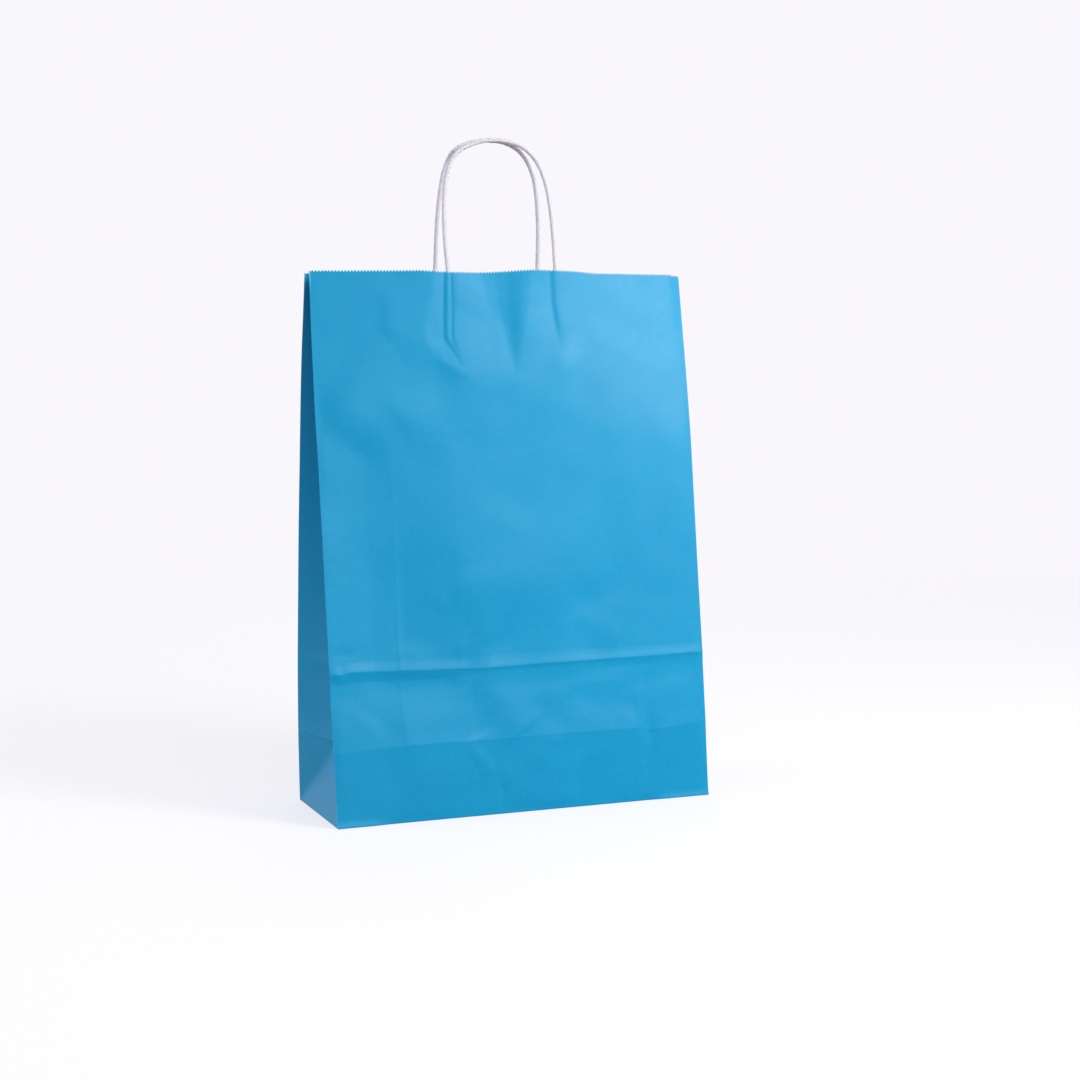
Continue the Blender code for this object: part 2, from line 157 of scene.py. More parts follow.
# The glued bottom. The levels of its second and third ply are in thicknesses of paper above the outermost one
BOTTOM_LAP = 0.016
LAP_GROOVE = 0.0010
FLAP_INSET = 0.0009
FLAP_GAP = 0.0006
SECOND_LEVEL = 1.25
THIRD_LEVEL = 2.5
FLAP_PAPER = 0.96 * PAPER
FLOOR_GAP = 0.00004
LOWEST = 0.00001

# The camera at the photograph's viewing angle: azimuth, elevation and roll in degrees, place in metres
CAMERA_ANGLES = (-21.03, 4.75, -0.6)
CAMERA_PLACE = (-0.5448, -1.5034, 0.3415)
CAMERA_LENS = 66.753

# The light: name, azimuth and elevation, distance, size, power and colour
LAMP_AIM = (0, 0, 0.22)
LAMPS = (
    ("key", 37, 27, 1.70, 0.70, 24, (1.0, 0.985, 0.97)),
    ("front", 2, 24, 2.2, 1.2, 8, (1.0, 0.99, 0.98)),
    ("fill", -100, 18, 2.2, 1.4, 17, (0.80, 0.93, 1.0)),
    ("rear", 165, 32, 2.2, 1.6, 10, (0.98, 0.99, 1.0)),
)
BACKDROP = (0.945, 0.93, 0.975, 1)
AMBIENT = 0.33
FLOOR_SIZE = 16
FLOOR_TOP = -0.00002
FLOOR_GLOW = 0.71
FLOOR_FADE = (0.45, 2.3)


# Meshes and their data


def read_numbers(items, key, kind, width=1):
    """One property of every item of a mesh, as an array."""
    values = np.zeros(len(items) * width, kind)
    items.foreach_get(key, values)
    return values.reshape(-1, width) if width > 1 else values


def coordinates(mesh):
    return read_numbers(mesh.vertices, "co", float, 3)


def set_coordinates(mesh, points):
    mesh.vertices.foreach_set("co", np.ascontiguousarray(points, np.float32).reshape(-1))
    mesh.update()


def write_value(mesh, name, values):
    attribute = mesh.attributes.new(name, "FLOAT", "POINT")
    attribute.data.foreach_set("value", np.asarray(values, np.float32))


def deselect_all():
    for obj in bpy.context.selected_objects:
        obj.select_set(False)


def only(obj):
    deselect_all()
    obj.select_set(True)
    bpy.context.view_layer.objects.active = obj


def drawn(name, add, **options):
    """A primitive, added and named."""
    deselect_all()
    add(**options)
    obj = bpy.context.object
    obj.name = obj.data.name = name
    return obj


def new_object(name, data):
    obj = bpy.data.objects.new(name, data)
    bpy.context.scene.collection.objects.link(obj)
    return obj


# The camera


def away(azimuth, elevation):
    """The direction from the bag to a place seen at those angles, in radians. Azimuth 0 is straight in front."""
    flat = math.cos(elevation)
    return Vector((math.sin(azimuth) * flat, -math.cos(azimuth) * flat, math.sin(elevation)))


def add_camera():
    azimuth, elevation, roll = (math.radians(a) for a in CAMERA_ANGLES)
    back = away(azimuth, elevation)
    right = Vector((math.cos(azimuth), math.sin(azimuth), 0))
    up = back.cross(right)
    turned_right = right * math.cos(roll) + up * math.sin(roll)
    turned_up = up * math.cos(roll) - right * math.sin(roll)
    data = bpy.data.cameras.new("camera")
    data.lens = CAMERA_LENS
    data.sensor_width = 36
    data.sensor_fit = "HORIZONTAL"
    camera = new_object("camera", data)
    place = Matrix((turned_right, turned_up, back)).transposed().to_4x4()
    place.translation = CAMERA_PLACE
    camera.matrix_world = place
    bpy.context.scene.camera = camera


# The form that the cords were laid out on, as in part.py


def cad_edge_out(side, end, h):
    k = h / HEIGHT
    rim = RIM_END_GAP / 2 + side * RIM_SHIFT
    return HALF_D * (1 - k) + rim * k + 4 * EDGE_BOWS[side, end] * k * (1 - k)


def rise(h):
    """Height above the floor of a point at height h along the paper."""
    return PAPER / 2 + h * math.sqrt(1 - ((DEPTH - RIM_END_GAP) / 2 / HEIGHT) ** 2)


def cad_wall(side, x, h):
    k = h / HEIGHT
    right = x / WIDTH + 0.5
    out = cad_edge_out(side, -1, h) * (1 - right) + cad_edge_out(side, 1, h) * right
    out += RIM_BULGE * k * k * (1 - (2 * x / WIDTH) ** 2)
    return Vector((x, side * out, rise(h)))


def behind_cad_wall(side, x, h, inward):
    step = 0.001
    across = cad_wall(side, x + step, h) - cad_wall(side, x - step, h)
    upward = cad_wall(side, x, h + step) - cad_wall(side, x, h - step)
    outward = across.cross(upward).normalized() * -side
    return cad_wall(side, x, h) - outward * inward


# Cords


def cord_depth():
    return 2 * (PAPER + GAP) + CORD / 2


def smooth_line(points, step):
    """Points that far apart along a smooth curve through the given ones."""
    ends = [2 * points[0] - points[1]] + points + [2 * points[-1] - points[-2]]
    fine = []
    for before, start, end, after in zip(ends, ends[1:], ends[2:], ends[3:]):
        for i in range(CURVE_STEPS):
            t = i / CURVE_STEPS
            fine.append(
                start
                + (end - before) * t / 2
                + (before - 2.5 * start + 2 * end - after / 2) * t * t
                + (-before / 2 + 1.5 * start - 1.5 * end + after / 2) * t**3
            )
    fine.append(points[-1])
    walked = [0.0]
    for a, b in zip(fine, fine[1:]):
        walked.append(walked[-1] + (b - a).length)
    count = round(walked[-1] / step)
    at = np.linspace(0, walked[-1], count + 1)
    line = np.stack([np.interp(at, walked, [p[i] for p in fine]) for i in range(3)], axis=1)
    return line, walked[-1]


def handle_line(side, route, step):
    """The middle line of a handle, with both its ends inside the bag."""
    meet = side * (CORD + CORD_GAP) / 2
    inserted = (CORD_INSERT, CORD_INSERT / 2)
    points = [behind_cad_wall(side, route[0][0], HEIGHT - down, cord_depth()) for down in inserted]
    for x, up in route:
        root = behind_cad_wall(side, x, HEIGHT, cord_depth())
        lean = min(1.0, up / HANDLE_RISE)
        points.append(Vector((x, root.y + (meet - root.y) * lean, root.z + up)))
    points += [behind_cad_wall(side, route[-1][0], HEIGHT - down, cord_depth()) for down in reversed(inserted)]
    return smooth_line(points, step)


def drift(walked, random, low, high, waves):
    """A slow unevenness along a cord, made of waves of those lengths."""
    return sum(
        random.uniform(low, high) * np.sin(walked * 2 * math.pi / wave + random.uniform(0, 6.3)) for wave in waves
    )


def twisted_cord(name, side, route, seed):
    """A cord of twisted paper strands along its line, as one closed tube."""
    line, length = handle_line(side, route, CORD_STEP)
    count = len(line)
    tangents = np.gradient(line, axis=0)
    tangents /= np.linalg.norm(tangents, axis=1)[:, None]
    normal = np.cross(tangents[0], (0, 1, 0))
    normals = []
    for tangent in tangents:
        normal = normal - tangent * normal.dot(tangent)
        normal = normal / np.linalg.norm(normal)
        normals.append(normal)
    normals = np.array(normals)
    sides = np.cross(tangents, normals)

    walked = np.linspace(0, length, count)
    random = np.random.default_rng(seed)
    wander = drift(walked, random, 0.15, 0.35, (0.031, 0.047, 0.083))
    swelling = drift(walked, random, 0.006, 0.014, (0.0065, 0.011, 0.019, 0.040))
    angles = np.linspace(0, 2 * math.pi, CORD_ROUND, endpoint=False)
    turn = 2 * math.pi * walked / TWIST_PITCH + wander
    around = angles[None, :] - turn[:, None]
    valley = 1 - np.abs(np.sin(around * STRANDS / 2))
    pleat = np.sin(around * PLEATS + 2 * np.sin(walked / PLEAT_SWAY)[:, None])
    radius = CORD / 2 * (1 + swelling[:, None] - GROOVE * valley**2 + PLEAT_DEPTH * pleat)
    ring = normals[:, None, :] * np.cos(angles)[None, :, None] + sides[:, None, :] * np.sin(angles)[None, :, None]
    points = line[:, None, :] + ring * radius[:, :, None]

    verts = points.reshape(-1, 3).tolist() + [line[0].tolist(), line[-1].tolist()]
    faces = []
    for low in range(0, (count - 1) * CORD_ROUND, CORD_ROUND):
        high = low + CORD_ROUND
        for j in range(CORD_ROUND):
            k = (j + 1) % CORD_ROUND
            faces.append((low + j, low + k, high + k, high + j))
    last = (count - 1) * CORD_ROUND
    for j in range(CORD_ROUND):
        k = (j + 1) % CORD_ROUND
        faces.append((len(verts) - 2, k, j))
        faces.append((len(verts) - 1, last + j, last + k))
    mesh = bpy.data.meshes.new(name)
    mesh.from_pydata(verts, [], faces)
    # how deep each point lies in a groove, for the shade that the material paints there
    write_value(mesh, "groove", np.append(valley**2, (0, 0)))

    # the texture's first axis is the turn about the cord: a face across the end of a turn keeps all its corners on
    # one side of it
    flat = np.stack([
        np.append(around / (2 * math.pi), (0, 0)),
        np.append(np.repeat(walked, CORD_ROUND), (0, length)),
    ], axis=1)
    coords = flat[read_numbers(mesh.loops, "vertex_index", np.int32)]
    starts = read_numbers(mesh.polygons, "loop_start", np.int32)
    for start, total in zip(starts, read_numbers(mesh.polygons, "loop_total", np.int32)):
        part = coords[start:start + total, 0]
        part[part < part.max() - 0.5] += 1
    mesh.uv_layers.new(name="along").data.foreach_set("uv", coords.astype(np.float32).reshape(-1))
    mesh.shade_smooth()
    cord = new_object(name, mesh)
    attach(cord, "root")
    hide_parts(("front" if side == FRONT else "back") + "_handle")
    return cord


# The folded form of the sheet


def smooth_profile(points):
    """A smooth line through measured points, as a function of the height along the paper."""
    step, margin, reach = 0.001, 0.080, 0.035
    grid = np.arange(-margin, HEIGHT + margin, step)
    heights, outs = (np.array(v) for v in zip(*points))
    raw = np.interp(grid, heights, outs)
    first = (outs[1] - outs[0]) / (heights[1] - heights[0])
    last = (outs[-1] - outs[-2]) / (heights[-1] - heights[-2])
    raw = np.where(grid < 0, outs[0] + first * grid, raw)
    raw = np.where(grid > HEIGHT, outs[-1] + last * (grid - HEIGHT), raw)
    kernel = np.exp(-0.5 * (np.arange(-reach, reach + step / 10, step) / PROFILE_REACH) ** 2)
    smooth = np.convolve(raw, kernel / kernel.sum(), mode="same")
    return lambda h: np.interp(h, grid, smooth)


EDGES = {key: smooth_profile(points) for key, points in EDGE_POINTS.items()}


def ease(t):
    t = np.clip(t, 0, 1)
    return t * t * (3 - 2 * t)


def through(x, points):
    """The height at x of a line through points."""
    return np.interp(x, *zip(*points))


def crease(x, h, points, high, left, right, fade):
    """A pressed line through points, in millimetres: its height, its reach on either hand and its faded ends."""
    near = np.full(x.shape, 1e9)
    hand = np.zeros(x.shape)
    share = np.zeros(x.shape)
    pieces = list(zip(points, points[1:]))
    lengths = [math.dist(a, b) for a, b in pieces]
    whole = sum(lengths)
    start = 0.0
    for (a, b), long in zip(pieces, lengths):
        dx, dh = (b[0] - a[0]) / long, (b[1] - a[1]) / long
        t = np.clip((x - a[0]) * dx + (h - a[1]) * dh, 0, long)
        ex, eh = x - a[0] - t * dx, h - a[1] - t * dh
        away = np.hypot(ex, eh)
        closer = away < near
        near = np.where(closer, away, near)
        hand = np.where(closer, dx * eh - dh * ex, hand)
        share = np.where(closer, start + t, share)
        start += long
    reach = np.where(hand > 0, left, right)
    soft = min(0.25 * min(left, right), 12)  # how round its top is
    body = np.clip(1 - (np.hypot(near, soft) - soft) / reach, 0, None) ** 1.5
    ends = ease(share / fade[0]) if fade[0] else 1
    ends = ends * (ease((whole - share) / fade[1]) if fade[1] else 1)
    return high * body * ends


def swell(x, h, middle, size, high, turn=0.0):
    """A soft bump or hollow of that size, in millimetres."""
    c, s = math.cos(math.radians(turn)), math.sin(math.radians(turn))
    dx, dh = x - middle[0], h - middle[1]
    u = (dx * c + dh * s) / size[0]
    v = (dh * c - dx * s) / size[1]
    return high * (0.5 + 0.5 * np.cos(math.pi * np.clip(np.hypot(u, v), 0, 1)))


def cockle(x, h, seed, waves, high):
    """Slow unevenness of paper: many faint waves of different length and direction."""
    random = np.random.default_rng(seed)
    total = np.zeros(x.shape)
    for _ in range(COCKLE_WAVES):
        wave = random.uniform(*waves)
        angle = random.uniform(0, math.pi)
        phase = random.uniform(0, 2 * math.pi)
        total += np.sin((x * math.cos(angle) + h * math.sin(angle)) * 2 * math.pi / wave + phase)
    return high * total / math.sqrt(COCKLE_WAVES / 2)


# Creases of the front wall: points across and up in millimetres, height, reach left and right of the way, faded ends
FRONT_CREASES = (
    # the line of the gusset inside, pressed through, and the notch at its top
    (((-98.8, 310), (-98.8, 117)), 0.1, 2.6, 2, (70, 0)),
    (((-98.8, 200), (-98.8, 117)), 0.1, 2.6, 2, (60, 0)),
    (((-98.8, 115), (-98.8, 62)), 0.1, 2.6, 2, (0, 8)),
    (((97.5, 424), (98.5, 300), (98.4, 62)), 0.05, 2.2, 3.4, (8, 8)),
    (((-95.5, 425), (-95.5, 368)), 0.55, 14, 10, (25, 14)),
    # the upper left: a dark nick at the edge and a light one beside the pressed line
    (((-156, 313), (-141, 299), (-127.6, 288), (-103, 266)), -1.7, 22, 26, (0, 30)),
    (((-102.6, 327), (-92.4, 317), (-76, 300)), 0.42, 18, 9, (8, 14)),
    (((-103.6, 308), (-87.3, 289), (-70.8, 267)), -0.3, 15, 12, (12, 18)),
    (((-160, 322), (-128, 300), (-98, 287), (-82, 259), (-61, 233), (-34, 192), (-8, 178), (28, 162),
      (70, 148)), 2.9, 150, 60, (30, 50)),
    # the edge of the light part on the right
    (((46, 372), (65, 348), (84.5, 322), (106, 304), (180, 280)), 1.3, 90, 110, (24, 0)),
    # the dents above the lower fold
    (((-90, 214), (-92, 171), (-95, 128)), -0.8, 44, 12, (24, 10)),
    (((-44, 196), (-34, 168), (-27, 132)), 0.95, 40, 18, (18, 8)),
    (((-71, 171), (-58, 162)), 0.4, 6, 6, (6, 6)),
    (((-54, 160), (-43, 141), (-26, 128)), -0.3, 16, 14, (14, 14)),
    (((-36, 126), (-8, 142), (27, 156), (74, 162)), -1.3, 34, 44, (34, 30)),
    (((44, 152), (65, 143), (88, 130)), 0.55, 12, 15, (12, 12)),
    (((44, 178), (58, 166), (94, 172)), -0.4, 16, 14, (12, 16)),
    # the band between the two folds
    (((-146, 103), (-120, 81), (-98.5, 60)), -0.34, 14, 8, (10, 2)),
    (((-54, 132), (-45.5, 115), (-43, 97), (-42, 77), (-35, 61)), -0.85, 15, 24, (14, 6)),
    (((-41, 110), (-20.5, 91), (-1, 61)), 0.85, 32, 17, (4, 6)),
    (((5, 90), (11, 79), (26, 70), (38, 77)), -0.38, 14, 12, (8, 10)),
    (((40, 87), (64, 80), (97, 83)), -0.4, 14, 12, (10, 12)),
    (((88, 84), (99, 61), (113, 47)), -0.55, 14, 9, (6, 8)),
    # the foot
    (((-43, 51), (-36, 42), (-31, 28)), 0.55, 7, 7, (4, 8)),
    (((-25.4, 26), (-21.9, 15), (-23.4, 0)), -0.6, 9, 2, (6, 0)),
    (((43.6, 26), (42.4, 14), (41, 0)), -0.4, 6, 1.6, (6, 0)),
    (((-23, 26), (7.8, 43)), 0.32, 14, 12, (8, 0)),
    (((7.8, 43), (42.3, 24)), 0.32, 14, 12, (0, 8)),
)
FRONT_SWELLS = (
    ((-143, 131), (16, 6), -0.45, 0),
    ((-75, 250), (46, 90), -0.9, 20),
    ((30, 235), (80, 70), -0.8, 0),
    ((-62, 80), (40, 15), 0.35, 0),
    ((-66, 30), (45, 26), 0.45, 0),
    ((12, 16), (34, 26), 0.45, 0),
    ((24, 92), (22, 12), 0.4, 0),
    ((70, 100), (60, 10), 0.45, 4),
    ((126, 88), (24, 22), 0.5, 0),
    ((-43.5, 50.5), (7, 5), 0.4, 0),
    ((23, 54.5), (16, 4.5), 0.22, -8),
    ((58, 42), (30, 9), 0.3, 10),
)

# The folds under the rim, from left to right: the heights where each is given, its places across there and how
# far it stands out, in millimetres
CORD_HEIGHTS = (338, 345, 352, 364, 372, 400, 425)
VALLEY_HEIGHTS = (346, 374, 385, 405, 425)
RIGHT_HEIGHTS = (346, 364, 375, 385, 400, 425)
TOP_FOLDS = (
    ((345, 380, 425), (-80, -104, -93), (0, 0, 0)),
    ((338, 345, 355, 367, 380, 400, 425), (-36, -41, -56, -66, -68, -62.5, -59), (0, 0.4, 1.1, 1.45, 1.5, 1.35, 1.1)),
    (CORD_HEIGHTS, (-35, -38.5, -39.6, -46.6, -52.8, -51.6, -50.3), (0, 0.4, 0.2, 0.1, 0, 0, 0)),
    (CORD_HEIGHTS, (-34, -38, -38.9, -44.5, -49.8, -48.7, -47.7), (0, 0.4, 0.4, 0.6, 0.75, 0.85, 0.8)),
    (CORD_HEIGHTS, (-33, -37, -38.3, -43.1, -46.1, -44.8, -45), (0, 0.4, 0.35, 0.45, 0.45, 0.5, 0.5)),
    (CORD_HEIGHTS, (-32, -36, -37.8, -41.6, -44.4, -43, -43.4), (0, 0.3, 0.4, 0.65, 0.8, 0.85, 0.85)),
    (CORD_HEIGHTS, (-31, -35, -37, -39.5, -41.5, -40, -40.5), (0, 0.3, 0.35, 0.55, 0.7, 0.8, 0.8)),
    ((346, 374, 400, 425), (4.6, -2.6, -13.5, -21), (0, -0.6, -1.2, -1.35)),
    (VALLEY_HEIGHTS, (4.9, -0.6, -3, -6.5, -8), (0, -0.7, -1.1, -1.25, -1.35)),
    (VALLEY_HEIGHTS, (5.4, 3.4, 2.4, 1, 1), (0, -0.22, -0.4, -0.42, -0.45)),
    (VALLEY_HEIGHTS, (6.1, 8.7, 10, 11.5, 13.6), (0, 1.2, 1.65, 2.05, 2.35)),
    ((346, 358, 372, 385, 405, 425), (6.6, 8.9, 12, 15, 18.5, 22), (0, 0.65, 1.55, 2.1, 2.6, 2.9)),
    (RIGHT_HEIGHTS, (48, 43.6, 41.4, 39.8, 38, 37.4), (0, 0, 0.1, 0.1, 0.1, 0.1)),
    (RIGHT_HEIGHTS, (52, 47.6, 45, 43.4, 41.7, 41.2), (0, 0, 0.35, 0.75, 1, 1.05)),
    (RIGHT_HEIGHTS, (60, 54, 48.6, 46.6, 45, 44.6), (0, 0, 0.4, 0.8, 1.05, 1.1)),
    ((358, 425), (84, 72), (0, 0)),
)
BOWL_EDGE = (
    (-66, 384), (-52, 352), (-39, 344.5), (-27, 337), (-14, 334), (2, 339), (13, 345), (31, 346.5), (52, 361),
    (70, 384),
)


# The two creases across the front wall: place across and height along the paper, in millimetres
UPPER_HEIGHT = (
    (-155, 116.6), (-145.5, 115.2), (-141, 117.2), (-100.9, 116.1), (-49, 115), (-43, 114.4), (13.7, 115.1),
    (82.1, 115.7), (154.7, 116.4),
)
LOWER_HEIGHT = (
    (-155, 56.3), (-125, 57.9), (-95.5, 59.5), (-22, 59.4), (54, 59.6), (100, 59.5), (108, 57.2), (120, 57.6),
    (140, 60.2), (155, 61.2),
)
# How far they stand out at each distance above them. The upper one is given at the left, in the middle and on the right
UPPER_FOLD = (
    ((-40, 0), (-10, -0.25), (-8, -0.2), (-6.6, 0.05), (-0.3, 1.9), (0.3, 2), (4, 1.15), (7.5, 0.55), (11, 0.35),
     (40, 0)),
    ((-56, 0), (-6, 1.2), (-1.6, 1.45), (-0.3, 2), (0.3, 2.1), (4.2, 1.35), (9, 0.85), (26, 0.3), (50, 0)),
    ((-56, 0), (-6.5, 0.85), (-1.6, 1.35), (-0.3, 1.85), (0.3, 1.95), (3.6, 1.25), (8, 0.8), (24, 0.25), (48, 0)),
)
LOWER_FOLD = ((-60, 0), (-1.6, 3.75), (-0.4, 3.9), (42, 0))
LOWER_STRENGTH = (
    (-155, 0.55), (-112, 0.6), (-96, 1), (-20, 1), (96, 1), (104, 0.7), (112, 0.9), (140, 0.8), (155, 0.7),
)


def front_folds(x, h):
    """The two creases across the front wall, where the bottom was folded flat against it."""
    left, middle, right = (through(h - through(x, UPPER_HEIGHT), line) for line in UPPER_FOLD)
    upper = left + (middle - left) * ease((x + 66) / 22) + (right - middle) * ease((x - 40) / 30)
    return upper + through(x, LOWER_STRENGTH) * through(h - through(x, LOWER_HEIGHT), LOWER_FOLD)


def top_folds(x, h):
    """The folds that the handle and its patch press into the wall under the rim."""
    across = [np.interp(h, heights, places) for heights, places, _ in TOP_FOLDS]
    out = [np.interp(h, heights, outs) for heights, _, outs in TOP_FOLDS]
    total = np.zeros(x.shape)
    for left, right, low, high in zip(across, across[1:], out, out[1:]):
        share = (x - left) / np.maximum(right - left, 0.01)
        total = np.where((share >= 0) & (share < 1), low + (high - low) * share, total)
    return total * ease((h - 334) / 9)


def bowl(x, h):
    """The wall under the handles: the lower edge of the patch stands proud and the paper leans back above it."""
    above = h - through(x, BOWL_EDGE)
    return through(above, ((-52, 0), (-2, 1.6), (2, 1.6), (50, 0))) * ease((66 - np.abs(x - 2)) / 26)


def all_creases(x, h, creases):
    return sum(crease(x, h, *row) for row in creases)


def front_relief(x, h):
    """How far the front wall stands out of its smooth form, in millimetres."""
    total = front_folds(x, h) + top_folds(x, h) + bowl(x, h) + all_creases(x, h, FRONT_CREASES)
    total = total + sum(swell(x, h, *row) for row in FRONT_SWELLS)
    # below the nick in its left edge the wall dips to the pressed line, and higher up on the right it swells
    side = through(x, ((-155, 0), (-119, -2.8), (-109, -2.8), (-50, 0))) * ease((316 - h) / 60) * ease((h - 60) / 80)
    roll = through(x, ((70, 0), (145, 0.6), (155, 0))) * ease((h - 320) / 80)
    return total + side + roll + cockle(x, h, 5, (26, 62), 0.085) + cockle(x, h, 9, (11, 24), 0.012)


def follow_folds(x, h):
    """Moves the rows of the sheet onto the creases across the front wall, which aren't quite level."""
    moved = h
    for plain, heights in ((PRESS_CREASE / MM, UPPER_HEIGHT), (LOW_CREASE / MM, LOWER_HEIGHT)):
        moved = moved + ease((22 - np.abs(h - plain)) / 12) * (through(x, heights) - plain)
    return moved


BACK_CREASES = (
    # the lines of the gussets inside and of the cord ends
    (((-97.5, 424), (-98.5, 62)), 0.3, 4.4, 2.4, (8, 8)),
    (((97.5, 424), (98.5, 62)), 0.3, 2.4, 4.4, (8, 8)),
    (((-46.5, 425), (-46.5, 374), (-41.85, 356)), 1.1, 4.8, 4.8, (0, 16)),
    (((40.3, 425), (40.3, 374), (36.27, 356)), 1.1, 4.8, 4.8, (0, 16)),
    # soft folds from handling
    (((-12, 425), (1, 372), (3, 352)), -0.8, 14, 12, (0, 8)),
    (((-62, 424), (-70, 384), (-50, 352)), 0.5, 10, 12, (8, 12)),
    (((60, 424), (64, 380), (40, 350)), 0.5, 12, 10, (8, 12)),
    (((-130, 250), (-60, 190), (-30, 178)), -0.4, 18, 14, (20, 20)),
    (((30, 215), (96, 262)), 0.4, 20, 14, (20, 20)),
    (((-146, 96), (-104, 60)), -0.35, 6, 5, (8, 4)),
    (((146, 96), (104, 60)), -0.35, 5, 6, (8, 4)),
    (((24, 118), (6, 84), (-12, 60)), 0.4, 14, 16, (4, 6)),
)


def back_relief(x, h):
    total = all_creases(x, h, BACK_CREASES)
    total = total + through(h - 120.4 - 0.5 * np.sin(x / 47), ((-20, 0), (-7.5, -0.35), (0, 0.6), (8.5, 0)))
    total = total + 0.30 * through(h - 58.2, ((-16, 0), (0, 1), (18, 0)))
    total = total + swell(x, h, (0, 384), (58, 52), 0.9)
    return total + cockle(x, h, 17, (28, 66), 0.11) + cockle(x, h, 19, (11, 24), 0.014)


def plain_out(side, x, h):
    """How far the smooth form of a wall stands out from the middle of the bag."""
    right = x / WIDTH + 0.5
    out = EDGES[side, -1](h) * (1 - right) + EDGES[side, 1](h) * right
    k = np.clip(h / HEIGHT, 0, 1)
    return out + RIM_BULGE * k * k * (1 - (2 * x / WIDTH) ** 2)


def on_wall(side, x, h):
    """Points on the outer face of the front or back wall."""
    relief = front_relief(x / MM, h / MM) if side == FRONT else back_relief(x / MM, h / MM)
    calm = ease((HALF_W - np.abs(x)) / EDGE_CALM) * 0.5 + 0.5
    foot = ease(h / FOOT_CALM)
    out = plain_out(side, x, h) + relief * MM * calm * foot
    if side == FRONT:  # the foot spreads a little towards its two corners
        spread = through(h, ((0, FOOT_SPREAD), (SPREAD_HEIGHT, 0)))
        out = out + spread * ease((np.abs(x + 0.004) - 0.105) / 0.020)
    wave = through(x * -side, RIM_WAVE) * (1 if side == FRONT else BACK_WAVE)
    lift = wave * ease((h - HEIGHT + RIM_WAVE_REACH) / RIM_WAVE_REACH)
    return np.stack([x, side * out, rise(h) + lift], axis=-1)


def gusset_crease(end, h):
    """Points on the crease down the middle of a gusset, half a gusset from each side edge."""
    front, back = EDGES[FRONT, end](h), EDGES[BACK, end](h)
    half = (front + back) / 2
    step = 0.004
    above, below = ((EDGES[FRONT, end](g) + EDGES[BACK, end](g)) / 2 for g in (h + step, h - step))
    drop = half * (below - above) / (2 * step)
    inward = np.sqrt(np.clip(HALF_D**2 - half**2 - drop**2, 1e-8, None))
    return np.stack([end * (HALF_W - inward), (back - front) / 2, rise(h) - drop], axis=-1)


def mix(a, b, t):
    return a + (b - a) * t[:, None]


def on_gusset(end, v, h):
    """Points on a gusset, v from its middle. The triangle at its foot leans in about the bottom fold."""
    side = np.where(v > 0, BACK, FRONT)
    corner = np.full(v.shape, end * HALF_W)
    edge = np.where((v > 0)[:, None], on_wall(BACK, corner, h), on_wall(FRONT, corner, h))
    across = np.abs(v) / HALF_D
    arch = np.sin(math.pi * across)
    upper = mix(gusset_crease(end, h), edge, across)
    bow = arch * (0.8 * MM) * ease((h - HALF_D) / 0.05) * ease((HEIGHT - h) / 0.10)
    uneven = cockle(v / MM + 40 * end, h / MM, 31 + end, (30, 70), 0.13) * MM * arch * ease(h / 0.03)
    pressed = through(h / MM - 119, ((-8, 0), (-0.5, 0.55), (0.5, 0.55), (8, 0))) * MM * arch
    bottom = through(h / MM - 57.5, ((-14, 0), (-0.4, 0.9), (0.6, 1), (16, 0))) * MM * ease((1 - across) / 0.12)
    upper[:, 0] += end * (bow + (pressed + bottom))
    apex = gusset_crease(end, np.array([HALF_D]))[0]

    def on_triangle(y):
        low = np.where(np.abs(y) < HALF_D - 1e-6, 2.5 * PAPER, 0.0)
        foot = np.stack([corner, y, low], axis=-1)
        high = np.stack([np.full(y.shape, apex[0]), apex[1] + y, np.full(y.shape, apex[2])], axis=-1)
        return mix(foot, high, h / HALF_D)

    diagonal = HALF_D - h
    inner = on_triangle(v)
    outer = mix(on_triangle(side * diagonal), edge, (np.abs(v) - diagonal) / np.maximum(h, 1e-6))
    lower = np.where((np.abs(v) <= diagonal)[:, None], inner, outer)
    points = np.where((h >= HALF_D)[:, None], upper, lower)
    points[:, 0] += end * uneven
    return points


# The sheet: cut flat, pinked, glued into a tube and folded


def spaced(low, high, step, lines):
    """Even steps from low to high, with every line and a cut close on both its sides among them."""
    close = sorted({round(a, 6) for line in lines for a in (line - CREASE_SIDE, line, line + CREASE_SIDE)})
    close = [c for c in close if low <= c <= high]
    count = round((high - low) / step)
    even = [low + (high - low) * i / count for i in range(count + 1)]
    kept = [e for e in even if all(abs(e - c) > CREASE_CLEAR for c in close)]
    return sorted(set(round(v, 6) for v in kept + close))


def girth_cuts():
    """Places along the girth where the flat sheet is cut into columns, finer where the wall is folded finely."""
    cuts = {0.012, 0.015}
    for low, high, step, lines in (
        (0.000, 0.400, 0.0050, (0.0325, 0.2275, 0.3425)),
        (0.400, 0.500, 0.0025, (0.4125, 0.45625)),
        (0.500, 0.515, 0.000625, ()),
        (0.515, 0.5925, 0.0025, ()),
        (0.5925, 0.605, 0.00125, ()),
        (0.605, 0.710, 0.0025, (0.6525,)),
        (0.710, 0.860, 0.0050, (0.7675,)),
        (0.860, 0.862, 0.0020, ()),
    ):
        ends = [line for line in FOLD_LINES if low - 1e-6 <= line <= high + 1e-6]
        cuts |= set(spaced(low, high, step, list(lines) + ends))
    for leg in (BACK_ROUTE[0][0], BACK_ROUTE[-1][0]):
        cuts |= {round(SEAM_SIDE - leg + side * MM, 6) for side in (-4.4, -2.8, -1.6, -0.8, 0, 0.8, 1.6, 2.8, 4.4)}
    return sorted(cuts)


